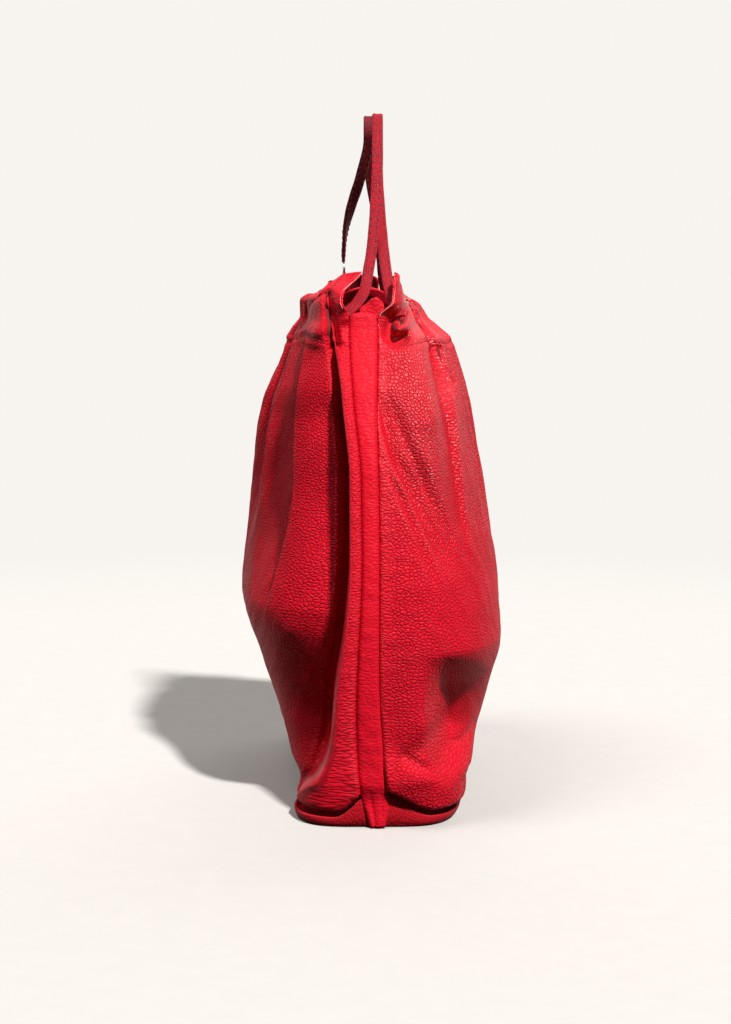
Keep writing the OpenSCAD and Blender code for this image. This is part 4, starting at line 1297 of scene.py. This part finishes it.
class BAG_OT_ring(bpy.types.Operator):
    """Hang the ring on its tab."""

    bl_idname = "bag.ring"
    bl_label = "Ring and tab"

    def execute(self, context):
        shape = bag_shape()
        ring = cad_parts["strap_ring"]
        ring.data.materials.clear()
        ring.data.materials.append(finish("ring_steel"))
        h = np.linspace(*shape.tab_reach, 12)
        centre = shape.on_loop(FAR, shape.ring_side, h, 0.0)
        across = np.tile(shape.across_loop(FAR), (len(h), 1))
        obj = strap_object("ring_tab_leather", centre, across, shape.strap_width, shape.strap_thick,
                           ("red_strap_leather",))
        sew(obj, "far_handle", "strap_leather", "ring_tab")
        return {"FINISHED"}


def stitch_tree():
    """Node tree that sets stitches along a curve."""
    tree = bpy.data.node_groups.new("stitch_row", "GeometryNodeTree")
    face = tree.interface
    face.new_socket("Geometry", in_out="INPUT", socket_type="NodeSocketGeometry")
    for name in ("Pitch", "Length", "Thread"):
        face.new_socket(name, in_out="INPUT", socket_type="NodeSocketFloat")
    face.new_socket("Finish", in_out="INPUT", socket_type="NodeSocketMaterial")
    face.new_socket("Geometry", in_out="OUTPUT", socket_type="NodeSocketGeometry")
    nodes, links = tree.nodes, tree.links
    start, end = nodes.new("NodeGroupInput"), nodes.new("NodeGroupOutput")
    resample = nodes.new("GeometryNodeResampleCurve")
    resample.mode = "LENGTH"
    bead = nodes.new("GeometryNodeMeshUVSphere")
    bead.inputs["Segments"].default_value = 8
    bead.inputs["Rings"].default_value = 6
    bead.inputs["Radius"].default_value = 0.5
    tangent = nodes.new("GeometryNodeInputTangent")
    align = nodes.new("FunctionNodeAlignRotationToVector")
    align.axis = "Z"
    size = nodes.new("ShaderNodeCombineXYZ")
    jitter = nodes.new("FunctionNodeRandomValue")
    jitter.data_type = "FLOAT"
    place = nodes.new("GeometryNodeInstanceOnPoints")
    scale = nodes.new("ShaderNodeVectorMath")
    scale.operation = "SCALE"
    real = nodes.new("GeometryNodeRealizeInstances")
    shade = nodes.new("GeometryNodeSetShadeSmooth")
    paint = nodes.new("GeometryNodeSetMaterial")
    floats = [s for s in jitter.inputs if s.type == "VALUE"]
    floats[0].default_value, floats[1].default_value = 0.88, 1.08
    jitter.inputs["Seed"].default_value = 17
    links.new(start.outputs["Geometry"], resample.inputs["Curve"])
    links.new(start.outputs["Pitch"], resample.inputs["Length"])
    links.new(resample.outputs["Curve"], place.inputs["Points"])
    links.new(bead.outputs["Mesh"], place.inputs["Instance"])
    links.new(tangent.outputs["Tangent"], align.inputs["Vector"])
    links.new(align.outputs["Rotation"], place.inputs["Rotation"])
    links.new(start.outputs["Thread"], size.inputs[0])
    links.new(start.outputs["Thread"], size.inputs[1])
    links.new(start.outputs["Length"], size.inputs[2])
    links.new(size.outputs[0], scale.inputs[0])
    links.new([s for s in jitter.outputs if s.type == "VALUE"][0], scale.inputs["Scale"])
    links.new(scale.outputs[0], place.inputs["Scale"])
    links.new(place.outputs["Instances"], real.inputs["Geometry"])
    links.new(real.outputs["Geometry"], shade.inputs["Geometry"])
    links.new(shade.outputs["Geometry"], paint.inputs["Geometry"])
    links.new(start.outputs["Finish"], paint.inputs["Material"])
    links.new(paint.outputs["Geometry"], end.inputs["Geometry"])
    return tree


def stitch_object(name, tree, rows, pitch, length, thread, slot):
    """Stitches along rows of points in millimetres, as one plain mesh."""
    path = bpy.data.curves.new(name + "_path", "CURVE")
    path.dimensions = "3D"
    for row in rows:
        line = path.splines.new("POLY")
        line.points.add(len(row) - 1)
        for point, place in zip(line.points, np.asarray(row) * MM):
            point.co = (*place, 1)
    guide = bpy.data.objects.new(name + "_guide", path)
    bpy.context.scene.collection.objects.link(guide)
    modifier = guide.modifiers.new("stitches", "NODES")
    modifier.node_group = tree
    inputs = {s.name: s.identifier for s in tree.interface.items_tree
              if s.item_type == "SOCKET" and s.in_out == "INPUT"}
    modifier[inputs["Pitch"]] = pitch
    modifier[inputs["Length"]] = length
    modifier[inputs["Thread"]] = thread
    modifier[inputs["Finish"]] = finish(slot)
    graph = bpy.context.evaluated_depsgraph_get()
    mesh = bpy.data.meshes.new_from_object(guide.evaluated_get(graph))
    mesh.name = name
    guide.modifiers.remove(modifier)
    bpy.data.objects.remove(guide)
    if not mesh.polygons:
        raise RuntimeError(f"{name} has no stitches")
    obj = bpy.data.objects.new(name, mesh)
    bpy.context.scene.collection.objects.link(obj)
    return obj


class BAG_OT_stitches(bpy.types.Operator):
    """Stitch the casing and the straps."""

    bl_idname = "bag.stitches"
    bl_label = "Stitches"

    def execute(self, context):
        shape, sizes = bag_shape(), context.scene.bag_sizes
        tree = stitch_tree()
        rows = []
        for side in (FRONT, BACK):
            angle = np.linspace(10, 176, 700) if side < 0 else np.linspace(6.5, 176, 700)
            z = shape.stitch_line(side, angle)
            depth = shape.depth(side, angle, z) + shape.edge_roll(angle, z)
            seam = shape.shell(side, angle, z, depth + shape.wrinkles(side, angle, z) - 0.2)
            rows.append(shape.sculpt(seam, angle))
        obj = stitch_object("casing_stitches", tree, rows, sizes.stitch_pitch, 0.72 * sizes.stitch_pitch,
                            sizes.thread, "seam_thread")
        sew(obj, "bag", "panel_leather")
        for word, end, body in (("near", NEAR, "near_handle"), ("far", FAR, "far_handle")):
            centre, across = loop_rows(shape, end)
            side, face = strap_frame(centre, across)
            inset = shape.strap_width / 2 - shape.strap_seam
            rise = shape.strap_thick / 2 - 0.05
            rows = [centre + a * inset * side + b * rise * face for a in (-1, 1) for b in (-1, 1)]
            rows = [r[3:-3] for r in rows]
            obj = stitch_object(f"{word}_strap_stitches", tree, rows, sizes.strap_pitch,
                                0.66 * sizes.strap_pitch, sizes.thread, "strap_thread")
            sew(obj, body, "strap_leather")
        return {"FINISHED"}


LAMP_COLOUR = (1.0, 0.98, 0.96)
FILL_COLOUR = (1.0, 0.97, 0.94, 1)
TOP_WAY = (-0.38, -0.15, 0.91)
BACK_WAY = (0.15, 0.77, 0.62)


def set_camera(scene, stage):
    """The camera at the photograph's place and angle."""
    lens = bpy.data.cameras.new("camera")
    lens.lens = stage.lens
    lens.sensor_width = 36.0
    camera = bpy.data.objects.new("camera", lens)
    camera.location = (stage.camera_side, -stage.camera_distance, stage.camera_height)
    camera.rotation_euler = (math.pi / 2 - stage.camera_pitch, 0, 0)
    scene.collection.objects.link(camera)
    scene.camera = camera


def hang_lamps(scene, stage):
    """A key light, and soft lights from above and from behind."""
    key_way = (math.sin(stage.key_turn) * math.cos(stage.key_rise),
               -math.cos(stage.key_turn) * math.cos(stage.key_rise), math.sin(stage.key_rise))
    for name, way, strength, angle in (("key", key_way, stage.key_strength, stage.key_softness),
                                       ("top", TOP_WAY, stage.top_strength, math.radians(25)),
                                       ("back", BACK_WAY, stage.back_strength, math.radians(60))):
        sun = bpy.data.lights.new(name, "SUN")
        sun.energy = strength
        sun.angle = angle
        sun.color = LAMP_COLOUR
        lamp = bpy.data.objects.new(name, sun)
        lamp.rotation_euler = Vector(way).to_track_quat("Z", "Y").to_euler()
        lamp.visible_glossy = name != "back"
        scene.collection.objects.link(lamp)


def lay_floor(scene, reach=6.0):
    """A wide sheet of pale paper."""
    corners = [(-reach, -reach, 0), (reach, -reach, 0), (reach, reach, 0), (-reach, reach, 0)]
    mesh = bpy.data.meshes.new("floor")
    mesh.from_pydata(corners, [], [(0, 1, 2, 3)])
    mesh.materials.append(finish("paper"))
    floor = bpy.data.objects.new("floor", mesh)
    scene.collection.objects.link(floor)
    return floor


def paint_backdrop(scene, stage, paper):
    """A world that is pale to the camera and in reflections, and throws little light."""
    world = bpy.data.worlds.new("studio")
    world.use_nodes = True
    tree = world.node_tree
    tree.nodes.clear()
    fill, wall = tree.nodes.new("ShaderNodeBackground"), tree.nodes.new("ShaderNodeBackground")
    fill.inputs["Color"].default_value = FILL_COLOUR
    fill.inputs["Strength"].default_value = stage.fill_strength
    wall.inputs["Color"].default_value = rgba(paper)
    rays = tree.nodes.new("ShaderNodeLightPath")
    blend, out = tree.nodes.new("ShaderNodeMixShader"), tree.nodes.new("ShaderNodeOutputWorld")
    seen = rays.outputs["Is Camera Ray"]
    for ray in ("Is Glossy Ray", "Is Transmission Ray"):
        either = tree.nodes.new("ShaderNodeMath")
        either.operation = "MAXIMUM"
        tree.links.new(seen, either.inputs[0])
        tree.links.new(rays.outputs[ray], either.inputs[1])
        seen = either.outputs[0]
    tree.links.new(seen, blend.inputs[0])
    tree.links.new(fill.outputs[0], blend.inputs[1])
    tree.links.new(wall.outputs[0], blend.inputs[2])
    tree.links.new(blend.outputs[0], out.inputs[0])
    scene.world = world


class BAG_OT_stage(bpy.types.Operator):
    """Set the camera, lights and pale floor."""

    bl_idname = "bag.stage"
    bl_label = "Stage"

    def execute(self, context):
        scene, stage = context.scene, context.scene.bag_stage
        scene.view_settings.view_transform = "Standard"
        set_camera(scene, stage)
        hang_lamps(scene, stage)
        floor = lay_floor(scene)
        paint_backdrop(scene, stage, scene.bag_colours.paper)
        return {"FINISHED"}


class BAG_PT_pieces(bpy.types.Panel):
    """Lists the bag's steps and settings."""

    bl_idname = "BAG_PT_pieces"
    bl_label = "Drawstring bag"
    bl_space_type = "VIEW_3D"
    bl_region_type = "UI"
    bl_category = "Bag"

    def draw(self, context):
        for operator in OPERATORS:
            self.layout.operator(operator.bl_idname)
        for group in (context.scene.bag_sizes, context.scene.bag_colours, context.scene.bag_stage):
            for name in type(group).__annotations__:
                self.layout.prop(group, name)


GROUPS = (("bag_sizes", BagSizes), ("bag_colours", BagColours), ("bag_stage", BagStage))
OPERATORS = (BAG_OT_stage, BAG_OT_cords, BAG_OT_handles, BAG_OT_ring, BAG_OT_panels, BAG_OT_strips,
             BAG_OT_base, BAG_OT_facings, BAG_OT_stitches)


def register():
    """Adds the bag's settings, steps and panel to Blender."""
    for name, group in GROUPS:
        bpy.utils.register_class(group)
        setattr(bpy.types.Scene, name, bpy.props.PointerProperty(type=group))
    for cls in (*OPERATORS, BAG_PT_pieces):
        bpy.utils.register_class(cls)


def unregister():
    """Takes them away again."""
    for cls in (BAG_PT_pieces, *reversed(OPERATORS)):
        bpy.utils.unregister_class(cls)
    for name, group in reversed(GROUPS):
        delattr(bpy.types.Scene, name)
        bpy.utils.unregister_class(group)


def main():
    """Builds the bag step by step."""
    register()
    bpy.ops.bag.stage()
    bpy.ops.bag.cords()
    bpy.ops.bag.handles()
    bpy.ops.bag.ring()
    bpy.ops.bag.panels()
    bpy.ops.bag.strips()
    bpy.ops.bag.base()
    bpy.ops.bag.facings()
    bpy.ops.bag.stitches()


if __name__ == "__main__":
    main()
